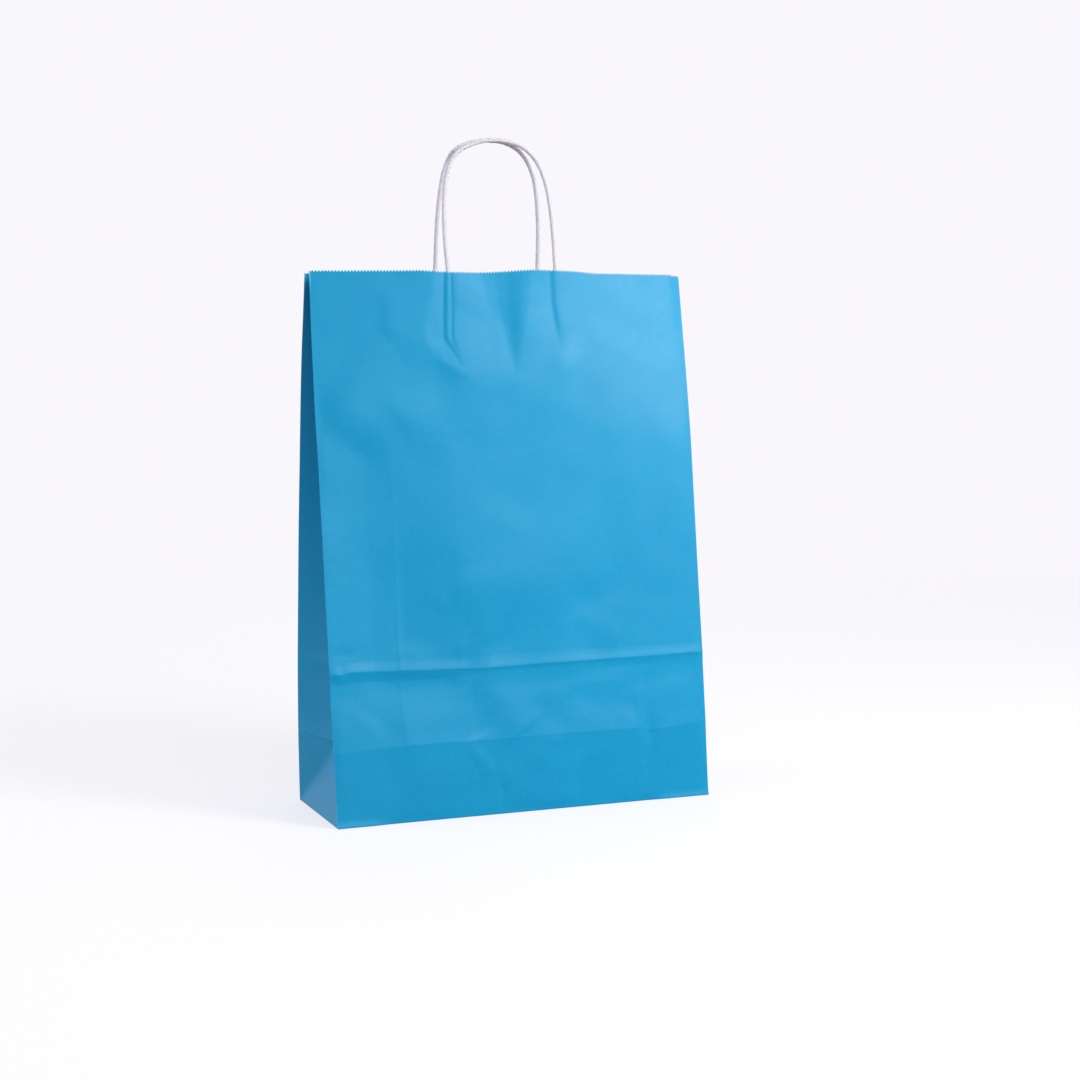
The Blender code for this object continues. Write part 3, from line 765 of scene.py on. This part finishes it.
def height_cuts():
    """Heights where it is cut into rows. The teeth take the place of the row next to the rim."""
    cuts = {-0.0030, -0.0014, -0.0005, 0.0004, 0.0014, 0.0026}
    cuts |= set(spaced(0.004, 0.132, 0.0026, (HALF_D, LOW_CREASE, 0.1080, PRESS_CREASE, 0.1240)))
    cuts |= set(spaced(0.132, 0.332, 0.0042, ()))
    cuts |= {cut for cut in spaced(0.332, HEIGHT, 0.0021, ()) if cut == HEIGHT or cut < HEIGHT - TOOTH_PITCH}
    return sorted(cuts)


def select_edges(mesh, chosen):
    """Selects the edges of an object in object mode whose two ends pass the test."""
    for part in (mesh.vertices, mesh.edges, mesh.polygons):
        part.foreach_set("select", np.zeros(len(part), bool))
    ends = read_numbers(mesh.edges, "vertices", np.int32, 2)
    picked = chosen(coordinates(mesh)[ends])
    mesh.edges.foreach_set("select", picked)
    flags = np.zeros(len(mesh.vertices), bool)
    flags[ends[picked].reshape(-1)] = True
    mesh.vertices.foreach_set("select", flags)
    return picked.any()


def pink(obj, on_edge, along, across, inward):
    """Cuts an edge of a flat piece into teeth: even cuts along it, and the points between the tips drawn back."""
    mesh = obj.data
    bpy.context.tool_settings.mesh_select_mode = (False, True, False)
    for count in range(2, 140):
        def this_long(ends, count=count):
            long = np.abs(ends[:, 1, along] - ends[:, 0, along]) / (TOOTH_PITCH / 2)
            return on_edge(ends) & (np.round(long) == count)
        if select_edges(mesh, this_long):
            bpy.ops.object.mode_set(mode="EDIT")
            bpy.ops.mesh.subdivide(number_cuts=count - 1, ngon=True)
            bpy.ops.object.mode_set(mode="OBJECT")
    points = coordinates(mesh)
    edge = on_edge(np.stack([points, points], axis=1))
    places = np.sort(points[edge, along])
    flank = round(float(np.median([gap for gap in np.diff(places) if gap > TOOTH_PITCH / 3])), 7)
    notch = 1 - np.abs(np.mod((points[:, along] - places[0]) / flank, 2) - 1)
    notch[points[:, along] > places[-1] - 1e-6] = 0
    points[edge, across] += inward * TOOTH_DEPTH * notch[edge]
    set_coordinates(mesh, points)


def flat_grid(name, columns, rows):
    """A grid laid flat, with its lines at the given places across and up."""
    counts = {"x_subdivisions": len(columns) - 1, "y_subdivisions": len(rows) - 1}
    obj = drawn(name, bpy.ops.mesh.primitive_grid_add, size=1, **counts)
    points = coordinates(obj.data)
    across = np.round((points[:, 0] + 0.5) * (len(columns) - 1)).astype(int)
    up = np.round((points[:, 1] + 0.5) * (len(rows) - 1)).astype(int)
    points[:, 0] = np.array(columns)[across]
    points[:, 1] = np.array(rows)[up]
    set_coordinates(obj.data, points)
    return obj


def write_uv(mesh):
    """Lays the piece's texture out as the flat paper, in metres."""
    layer = mesh.uv_layers.active or mesh.uv_layers.new(name="flat")
    layer.name = "flat"
    corners = read_numbers(mesh.loops, "vertex_index", np.int32)
    layer.data.foreach_set("uv", coordinates(mesh)[corners][:, :2].astype(np.float32).reshape(-1))


def give_paper(obj, thickness, outward, outside, inside):
    """Gives a sheet its thickness, its coloured outside, and its bare inside and cut edges."""
    obj.data.materials.clear()
    obj.data.materials.append(outside)
    obj.data.materials.append(inside)
    solid = obj.modifiers.new("paper", "SOLIDIFY")
    solid.thickness = thickness
    solid.offset = outward
    solid.use_even_offset = False
    solid.material_offset = 1
    solid.material_offset_rim = 1
    only(obj)
    bpy.ops.object.modifier_apply(modifier="paper")
    bpy.ops.object.shade_smooth_by_angle(angle=math.radians(SMOOTH_BELOW), keep_sharp_edges=False)


# The foot of a wall: height along the paper in metres, and how far it bends inwards and stands up in millimetres
FOOT_BENDS = (
    (-0.0031, 1.7, 0.03), (-0.0014, 0.75, 0.02), (-0.0005, 0.28, 0.07), (0.0004, 0.06, 0.40), (0.0014, 0.0, 1.4),
)


def under(h):
    """Where the foot of a wall bends in: inwards and up, in metres."""
    heights, inward, up = (np.array(column) for column in zip(*FOOT_BENDS))
    return np.interp(h, heights, inward * MM), np.interp(h, heights, up * MM)


def fold(s, h):
    """Takes points of the flat sheet, along its girth and up, to their place on the folded bag."""
    first, second, third, fourth = FOLD_LINES
    points = np.zeros((len(s), 3))
    high = np.maximum(h, 0)
    back, rest, front = s <= first, s >= fourth, (s >= second) & (s <= third)
    left, right = (s > first) & (s < second), (s > third) & (s < fourth)
    points[back] = on_wall(BACK, SEAM_SIDE - s[back], high[back])
    lap = ease((SEAM_END - s) / SEAM_SLOPE) * SEAM_STEP * ease(h / 0.004)
    points[back, 1] += lap[back]
    points[rest] = on_wall(BACK, HALF_W + fourth - s[rest], high[rest])
    across = s[front] - second - HALF_W
    points[front] = on_wall(FRONT, across, follow_folds(across / MM, high[front] / MM) * MM)
    points[left] = on_gusset(-1, first + HALF_D - s[left], high[left])
    points[right] = on_gusset(1, s[right] - third - HALF_D, high[right])

    # the foot bends in under the bag, where the bottom takes over
    low = h < FOOT_BENDS[-1][0] - 1e-5
    inward, up = under(h)
    walls, ends = low & (back | front | rest), low & (left | right)
    points[walls, 2] = up[walls]
    points[ends, 2] = np.maximum(up[ends], points[ends, 2] * (h[ends] > 0))
    for part, out, along, half in ((walls, 1, 0, HALF_W), (ends, 0, 1, HALF_D)):
        reach = half - inward[part]
        points[part, out] -= np.sign(points[part, out]) * inward[part]
        points[part, along] = np.clip(points[part, along], -reach, reach)
    return points


def wear_and_fold_highlight(s, h):
    """Where the coating is cracked, and where a highlight is painted along the same lines: round the foot, down the
    corners and along the creases of the front wall.
    """
    foot, foot_reach, corner_reach = 0.0002, 0.0011, 0.00055
    worn_and_highlit = np.clip(1 - np.abs(h - foot) / foot_reach, 0, 1)
    for line in FOLD_LINES:
        worn_and_highlit = np.maximum(worn_and_highlit, np.clip(1 - np.abs(s - line) / corner_reach, 0, 1))
    on_front = (s > FOLD_LINES[1]) & (s < FOLD_LINES[2])
    x = (s - FOLD_LINES[1] - HALF_W) / MM
    for heights, strength in ((UPPER_HEIGHT, 0.12), (LOWER_HEIGHT, 0.08)):
        near = np.clip(1 - np.abs(h / MM - through(x, heights)) / 1.2, 0, 1) * strength
        worn_and_highlit = np.where(on_front, np.maximum(worn_and_highlit, near), worn_and_highlit)
    return worn_and_highlit


def folded_sheet(blue, white):
    sheet = flat_grid("folded_sheet", girth_cuts(), height_cuts())
    only(sheet)
    pink(sheet, lambda ends: (ends[:, :, 1] > HEIGHT - 1e-5).all(axis=1), 0, 1, -1)
    write_uv(sheet.data)
    flat = coordinates(sheet.data)
    # a mask along the folds, for cracked coating and for a painted highlight on them
    write_value(sheet.data, "worn_and_highlit", wear_and_fold_highlight(flat[:, 0], flat[:, 1]))
    set_coordinates(sheet.data, fold(flat[:, 0], flat[:, 1]))
    give_paper(sheet, PAPER, -1, blue, white)
    points = coordinates(sheet.data)
    points[:, 2] = np.maximum(points[:, 2], LOWEST)
    set_coordinates(sheet.data, points)
    return sheet


# The glued bottom


def flat_ply(name, corners, level, pinked=None):
    """A flat ply with that outline. Its first edge is pinked if it is said along which axis and which way in."""
    obj = drawn(name, bpy.ops.mesh.primitive_plane_add, size=2)
    points = coordinates(obj.data)
    order = {(-1, -1): 0, (1, -1): 1, (1, 1): 2, (-1, 1): 3}
    for point in points:
        x, y = corners[order[round(point[0]), round(point[1])]]
        point[:] = (x, y, FLOOR_GAP + level * PAPER)
    set_coordinates(obj.data, points)
    if pinked:
        along, inward = pinked
        edge = corners[0][1 - along]
        pink(obj, lambda ends: (np.abs(ends[:, :, 1 - along] - edge) < 1e-6).all(axis=1), along, 1 - along, inward)
    write_uv(obj.data)
    return obj


def mirrored(inner_x, inner_y, outer_x, outer_y):
    """The outline of a ply that is the same on the left and on the right, from its inner edge on."""
    return [(-inner_x, inner_y), (inner_x, inner_y), (outer_x, outer_y), (-outer_x, outer_y)]


def bottom_flaps(blue, white):
    """The plies of the bottom, from the floor up, joined as they are glued."""
    flap = HALF_D + BOTTOM_LAP / 2
    short = HALF_D - BOTTOM_LAP / 2 - LAP_GROOVE
    end_x = HALF_W - flap - LAP_GROOVE
    wide, deep = HALF_W - FLAP_INSET, HALF_D - FLAP_INSET
    plies = [
        flat_ply("back_flap", mirrored(HALF_W - flap, HALF_D - flap, wide, deep), 0, (0, 1)),
        flat_ply("front_flap", mirrored(HALF_W - short, short - HALF_D, wide, -deep), 0),
        flat_ply("front_lap", mirrored(end_x, flap - HALF_D, end_x, -HALF_D / 3), SECOND_LEVEL, (0, -1)),
    ]
    for end in (-1, 1):
        edge_x = end * (HALF_W - flap + LAP_GROOVE)
        for side in (-1, 1):
            wall_y, middle_y = side * (HALF_D - FLAP_GAP), side * FLAP_GAP
            corner = [
                (end * (HALF_W - 2 * FLAP_GAP), wall_y), (edge_x, wall_y),
                (edge_x, middle_y), (end * (HALF_W - HALF_D - FLAP_GAP), middle_y),
            ]
            plies.append(flat_ply("corner_fold", corner, SECOND_LEVEL))
        high_y = HALF_D - 0.0004
        inner_x, outer_x = end * (HALF_W - flap), end * wide
        gusset = [(inner_x, -high_y), (inner_x, high_y), (outer_x, high_y), (outer_x, -high_y)]
        plies.append(flat_ply("gusset_flap", gusset, THIRD_LEVEL, (1, end)))
    for ply in plies:
        only(ply)
        bpy.ops.object.mode_set(mode="EDIT")
        bpy.ops.mesh.select_all(action="SELECT")
        bpy.ops.mesh.normals_make_consistent(inside=False)
        bpy.ops.object.mode_set(mode="OBJECT")
        if ply.data.polygons[0].normal.z > 0:
            ply.data.flip_normals()
        write_value(ply.data, "worn_and_highlit", np.zeros(len(ply.data.vertices)))
        give_paper(ply, FLAP_PAPER, -1, blue, white)
    only(plies[0])
    for ply in plies:
        ply.select_set(True)
    bpy.ops.object.join()
    bottom = bpy.context.object
    bottom.name = bottom.data.name = "bottom_flaps"
    return bottom


# Handle patches


def wall_normals(side, x, h):
    step = 0.0008
    across = on_wall(side, x + step, h) - on_wall(side, x - step, h)
    upward = on_wall(side, x, h + step) - on_wall(side, x, h - step)
    normal = np.cross(across, upward) * -side
    return normal / np.linalg.norm(normal, axis=1)[:, None]


def patch_ply(name, side, route, inner, white):
    """A ply of a handle patch behind the wall. The inner one is raised over the two cord ends."""
    legs = (route[0][0], route[-1][0])
    reach = 3 * (CORD / 2 + GAP)
    low, high = PATCH_MIDDLE - PATCH_LENGTH / 2, PATCH_MIDDLE + PATCH_LENGTH / 2
    top = HEIGHT - PATCH_DROP
    columns = set(np.round(np.arange(low, high + 1e-6, PATCH_CUTS), 6))
    columns = sorted(columns | {round(leg + reach * i / 6, 6) for leg in legs for i in range(-6, 7)} | {low, high})
    rows = sorted(set(np.round(np.linspace(top - PATCH_HEIGHT, top, 21), 6)))
    ply = flat_grid(name, columns, rows)
    write_uv(ply.data)
    flat = coordinates(ply.data)
    x, h = flat[:, 0], flat[:, 1]
    depth = np.full(len(x), PAPER + WALL_GLUE)
    if inner:
        nearest = np.min([np.abs(x - leg) for leg in legs], axis=0)
        ridge = np.where(nearest < reach, (1 + np.cos(math.pi * nearest / reach)) / 2, 0)
        lift = 0.0010 * np.clip(1 - nearest / reach, 0, 1)
        depth = depth + PAPER + PLY_GLUE + (CORD + 2 * GAP) * ridge + lift
        depth = depth + cockle(x / MM, h / MM, 51 + side, (14, 34), 0.05) * MM * np.clip(nearest / reach - 1, 0, 1)
    write_value(ply.data, "worn_and_highlit", np.zeros(len(x)))
    points = on_wall(side, x, h) - wall_normals(side, x, h) * depth[:, None]
    set_coordinates(ply.data, points)
    if ply.data.polygons[0].normal.y * side < 0:
        ply.data.flip_normals()
    give_paper(ply, PAPER, -1, white, white)
    return ply


# Materials


def new_group(name, inputs, outputs):
    """A node group with those sockets, its tree, its inputs and a way to link its outputs."""
    group = bpy.data.node_groups.new(name, "ShaderNodeTree")
    for label, kind in inputs:
        group.interface.new_socket(name=label, in_out="INPUT", socket_type=kind)
    for label in outputs:
        group.interface.new_socket(name=label, in_out="OUTPUT", socket_type="NodeSocketFloat")
    return group, group.nodes.new("NodeGroupInput").outputs, group.nodes.new("NodeGroupOutput").inputs


def feed(tree, socket, value):
    """Gives an input a link or a plain value."""
    if isinstance(value, bpy.types.NodeSocket):
        tree.links.new(value, socket)
    else:
        socket.default_value = value


def math_node(tree, operation, a, b, clamp=False):
    node = tree.nodes.new("ShaderNodeMath")
    node.operation = operation
    node.use_clamp = clamp
    feed(tree, node.inputs[0], a)
    feed(tree, node.inputs[1], b)
    return node.outputs[0]


def times(tree, a, b, clamp=False):
    return math_node(tree, "MULTIPLY", a, b, clamp)


def plus(tree, a, b):
    return math_node(tree, "ADD", a, b)


def noise_node(tree, vector, scale, detail, roughness, stretch=None):
    node = tree.nodes.new("ShaderNodeTexNoise")
    if stretch:
        mapping = tree.nodes.new("ShaderNodeMapping")
        mapping.inputs["Scale"].default_value = stretch
        tree.links.new(vector, mapping.inputs["Vector"])
        vector = mapping.outputs["Vector"]
    for label, value in (("Scale", scale), ("Detail", detail), ("Roughness", roughness), ("Vector", vector)):
        feed(tree, node.inputs[label], value)
    return node.outputs["Fac"]


def map_range(tree, value, low, high, to_low=0.0, to_high=1.0, smooth=False):
    node = tree.nodes.new("ShaderNodeMapRange")
    node.interpolation_type = "SMOOTHSTEP" if smooth else "LINEAR"
    for label, number in (
        ("Value", value), ("From Min", low), ("From Max", high), ("To Min", to_low), ("To Max", to_high),
    ):
        feed(tree, node.inputs[label], number)
    return node.outputs["Result"]


def tone(tree, fac, low, high):
    """A colour between two tones by a mask."""
    node = tree.nodes.new("ShaderNodeMix")
    node.data_type = "RGBA"
    tree.links.new(fac, [s for s in node.inputs if s.type == "VALUE"][0])
    for socket, value in zip([s for s in node.inputs if s.type == "RGBA"], (low, high)):
        feed(tree, socket, value)
    return [s for s in node.outputs if s.type == "RGBA"][0]


def attribute(tree, name):
    node = tree.nodes.new("ShaderNodeAttribute")
    node.attribute_name = name
    return node.outputs["Fac"]


def uv_map(tree, name):
    node = tree.nodes.new("ShaderNodeUVMap")
    node.uv_map = name
    return node.outputs["UV"]


def paper_fibre_group():
    """Fibres of the sheet: a cloudy formation, short fibres and the grain of the surface."""
    group, given, made = new_group("paper_fibre", (("Vector", "NodeSocketVector"),), ("Cloud", "Fibre", "Height"))
    vector = given["Vector"]
    cloud = noise_node(group, vector, 210, 4, 0.62)
    lengthwise = noise_node(group, vector, 1, 2, 0.6, (2600, 420, 900))
    crosswise = noise_node(group, vector, 1, 2, 0.6, (520, 2300, 900))
    fibre = times(group, map_range(group, lengthwise, 0.3, 0.7), map_range(group, crosswise, 0.3, 0.7))
    grain = noise_node(group, vector, 1500, 3, 0.6)
    height = plus(group, times(group, grain, 0.6), times(group, fibre, 0.5))
    height = plus(group, height, times(group, cloud, 0.5))
    for label, value in (("Cloud", cloud), ("Fibre", fibre), ("Height", height)):
        group.links.new(value, made[label])
    return group


def fold_wear_and_highlight_group():
    """Cracked coating and a painted highlight: a broken light line along the folds, from the piece's attribute of worn
    and highlit folds.
    """
    group, given, made = new_group(
        "fold_wear_and_highlight", (("Vector", "NodeSocketVector"), ("Worn", "NodeSocketFloat")), ("Crack_and_highlight",)
    )
    speck = noise_node(group, given["Vector"], 900, 3, 0.7)
    patch = noise_node(group, given["Vector"], 55, 2, 0.5)
    broken = times(group, map_range(group, speck, 0.38, 0.62), map_range(group, patch, 0.38, 0.66, 0.15, 1))
    group.links.new(times(group, given["Worn"], broken, clamp=True), made["Crack_and_highlight"])
    return group


def use_group(tree, group, **links):
    node = tree.nodes.new("ShaderNodeGroup")
    node.node_tree = group
    for label, value in links.items():
        tree.links.new(value, node.inputs[label])
    return node.outputs


def new_material(name, roughness):
    """A material, its tree and its Principled shader's inputs."""
    material = bpy.data.materials.new(name)
    material.use_nodes = True
    shader = material.node_tree.nodes["Principled BSDF"].inputs
    shader["Roughness"].default_value = roughness
    return material, material.node_tree, shader


def cover(tree, shader, colour, rough, height, distance):
    """Feeds a shader its colour, its roughness and its fine relief."""
    tree.links.new(colour, shader["Base Color"])
    tree.links.new(rough, shader["Roughness"])
    bump = tree.nodes.new("ShaderNodeBump")
    bump.inputs["Distance"].default_value = distance
    tree.links.new(height, bump.inputs["Height"])
    tree.links.new(bump.outputs["Normal"], shader["Normal"])


def fibres_cracks_and_highlights(tree, fibre_group, wear_and_highlight_group):
    """What the look of a flat sheet is drawn from: its layout, its fibres and its cracked folds with their painted
    highlight.
    """
    uv = uv_map(tree, "flat")
    fibre = use_group(tree, fibre_group, Vector=uv)
    return uv, fibre, use_group(tree, wear_and_highlight_group, Vector=uv, Worn=attribute(tree, "worn_and_highlit"))["Crack_and_highlight"]


def coloured_paper(fibre_group, wear_and_highlight_group):
    """Blue paper, coloured on this side only, with a soft satin surface."""
    material, tree, shader = new_material("coloured_paper", 0.38)
    shader["Specular IOR Level"].default_value = 0.25
    uv, fibre, crack_and_highlight = fibres_cracks_and_highlights(tree, fibre_group, wear_and_highlight_group)
    clouds = map_range(tree, fibre["Cloud"], 0.32, 0.68)
    broad = map_range(tree, noise_node(tree, uv, 14, 3, 0.5), 0.3, 0.7)
    deep = tone(tree, clouds, (0.0004, 0.290, 0.555, 1), (0.0006, 0.312, 0.585, 1))
    light = tone(tree, clouds, (0.0006, 0.304, 0.572, 1), (0.0010, 0.327, 0.602, 1))
    specks = map_range(tree, fibre["Fibre"], 0.55, 0.9, 0, 0.10)
    flecked = tone(tree, specks, tone(tree, broad, deep, light), (0.02, 0.42, 0.70, 1))
    # lighter along the folds: partly cracked coating, partly a painted highlight
    colour = tone(tree, times(tree, crack_and_highlight, 0.22), flecked, (0.14, 0.48, 0.72, 1))
    rough = plus(tree, map_range(tree, fibre["Cloud"], 0.3, 0.7, 0.385, 0.465), times(tree, crack_and_highlight, 0.25))
    height = math_node(tree, "SUBTRACT", fibre["Height"], times(tree, crack_and_highlight, 0.8))
    cover(tree, shader, colour, rough, height, 0.00003)
    return material


def bare_paper(fibre_group, wear_and_highlight_group):
    """The bare white side of the sheet, and the patches."""
    material, tree, shader = new_material("bare_paper", 0.8)
    _, fibre, crack_and_highlight = fibres_cracks_and_highlights(tree, fibre_group, wear_and_highlight_group)
    body = tone(tree, map_range(tree, fibre["Cloud"], 0.3, 0.7), (0.72, 0.71, 0.715, 1), (0.80, 0.795, 0.80, 1))
    flecked = tone(tree, map_range(tree, fibre["Fibre"], 0.5, 0.9, 0, 0.30), body, (0.62, 0.61, 0.62, 1))
    # lighter along the folds: partly cracked paper, partly a painted highlight
    colour = tone(tree, times(tree, crack_and_highlight, 0.4), flecked, (0.86, 0.86, 0.86, 1))
    rough = map_range(tree, fibre["Cloud"], 0.3, 0.7, 0.74, 0.86)
    cover(tree, shader, colour, rough, fibre["Height"], 0.00007)
    return material


def cord_paper(fibre_group):
    """White paper twisted into a cord: streaks along the strands, and painted shade in the grooves between them."""
    material, tree, shader = new_material("cord_paper", 0.75)
    shader["Subsurface Weight"].default_value = 0.90
    shader["Subsurface Radius"].default_value = (1.0, 0.95, 1.0)
    shader["Subsurface Scale"].default_value = 0.0050
    uv = uv_map(tree, "along")
    streaks = noise_node(tree, uv, 1, 4, 0.6, (26, 190, 1))
    fine = noise_node(tree, uv, 1, 3, 0.6, (90, 900, 1))
    fibre = use_group(tree, fibre_group, Vector=tree.nodes.new("ShaderNodeTexCoord").outputs["Object"])
    body = tone(tree, map_range(tree, streaks, 0.32, 0.68), (0.61, 0.585, 0.64, 1), (0.72, 0.69, 0.75, 1))
    specked = tone(tree, map_range(tree, fibre["Fibre"], 0.5, 0.9, 0, 0.25), body, (0.55, 0.52, 0.53, 1))
    # painted shade in the grooves between the strands
    groove_shade = map_range(tree, attribute(tree, "groove"), 0.25, 1, 0, 0.30)
    colour = tone(tree, groove_shade, specked, (0.45, 0.43, 0.45, 1))
    height = plus(tree, streaks, times(tree, fine, 0.5))
    cover(tree, shader, colour, map_range(tree, streaks, 0.3, 0.7, 0.68, 0.82), height, 0.00016)
    return material


# Floor, backdrop and light


def seen_by_eye(tree):
    """The ray's kinds, and 1 where it comes from the camera or by way of metal or glass: those see the background."""
    path = tree.nodes.new("ShaderNodeLightPath").outputs
    seen = math_node(tree, "MAXIMUM", path["Is Camera Ray"], path["Is Glossy Ray"])
    return path, math_node(tree, "MAXIMUM", seen, path["Is Transmission Ray"])


def glow(node, colour, strength):
    node.inputs["Color"].default_value = colour
    node.inputs["Strength"].default_value = strength
    return node.outputs[0]


def join_shaders(tree, kind, *inputs):
    node = tree.nodes.new(kind)
    for socket, value in zip(node.inputs, inputs):
        tree.links.new(value, socket)
    return node.outputs[0]


def add_stage():
    """A pale floor, which further away runs into the backdrop."""
    floor = drawn("floor", bpy.ops.mesh.primitive_plane_add, size=FLOOR_SIZE, location=(0, 0, FLOOR_TOP))
    floor.data.transform(floor.matrix_world)
    floor.matrix_world = Matrix.Identity(4)
    material, tree, shader = new_material("pale_floor", 0.9)
    shader["Specular IOR Level"].default_value = 0.1
    place = tree.nodes.new("ShaderNodeTexCoord").outputs["Object"]
    broad = map_range(tree, noise_node(tree, place, 1.3, 2, 0.5), 0.3, 0.7)
    tree.links.new(tone(tree, broad, (0.295, 0.29, 0.305, 1), (0.305, 0.30, 0.31, 1)), shader["Base Color"])
    path, seen = seen_by_eye(tree)
    pale, nothing, beyond = (
        glow(tree.nodes.new("ShaderNodeEmission"), colour, strength)
        for colour, strength in (((0.98, 0.965, 1.0, 1), FLOOR_GLOW), ((1, 1, 1, 1), 0), (BACKDROP, 1))
    )
    lit = join_shaders(tree, "ShaderNodeMixShader", seen, nothing, pale)
    near = join_shaders(tree, "ShaderNodeAddShader", tree.nodes["Principled BSDF"].outputs[0], lit)
    # further away the floor runs into the backdrop
    far = tree.nodes.new("ShaderNodeVectorMath")
    far.operation = "LENGTH"
    tree.links.new(place, far.inputs[0])
    share = times(tree, map_range(tree, far.outputs["Value"], *FLOOR_FADE, smooth=True), path["Is Camera Ray"])
    whole = join_shaders(tree, "ShaderNodeMixShader", share, near, beyond)
    tree.links.new(whole, tree.nodes["Material Output"].inputs["Surface"])
    floor.data.materials.append(material)


def add_world():
    world = bpy.data.worlds.new("studio")
    bpy.context.scene.world = world
    world.use_nodes = True
    tree = world.node_tree
    ambient = glow(tree.nodes["Background"], (0.97, 0.98, 1.0, 1), AMBIENT)
    backdrop = glow(tree.nodes.new("ShaderNodeBackground"), BACKDROP, 1)
    both = join_shaders(tree, "ShaderNodeMixShader", seen_by_eye(tree)[1], ambient, backdrop)
    tree.links.new(both, tree.nodes["World Output"].inputs["Surface"])


def add_lamp(name, azimuth, elevation, distance, size, power, colour):
    data = bpy.data.lights.new(name, "AREA")
    data.shape = "DISK"
    data.size = size
    data.energy = power
    data.color = colour
    lamp = new_object(name, data)
    towards = away(math.radians(azimuth), math.radians(elevation))
    place = towards.to_track_quat("Z", "Y").to_matrix().to_4x4()
    place.translation = Vector(LAMP_AIM) + towards * distance
    lamp.matrix_world = place


# The whole

add_camera()
front_cord = twisted_cord("front_cord", FRONT, FRONT_ROUTE, 3)
back_cord = twisted_cord("back_cord", BACK, BACK_ROUTE, 4)

groups = paper_fibre_group(), fold_wear_and_highlight_group()
blue = coloured_paper(*groups)
white = bare_paper(*groups)
cord_material = cord_paper(groups[0])
for cord in (front_cord, back_cord):
    cord.data.materials.append(cord_material)

sheet = folded_sheet(blue, white)
bottom = bottom_flaps(blue, white)
for piece in (sheet, bottom):
    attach(piece, "root")
    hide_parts("bag_body")

for word, side, route in (("front", FRONT, FRONT_ROUTE), ("back", BACK, BACK_ROUTE)):
    for inner in (False, True):
        place = "inner" if inner else "outer"
        ply = patch_ply(word + "_" + place + "_ply", side, route, inner, white)
        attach(ply, "root")
        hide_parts(word + "_patch_" + place)

add_stage()
add_world()
for lamp in LAMPS:
    add_lamp(*lamp)
bpy.context.scene.view_settings.view_transform = "Standard"
deselect_all()
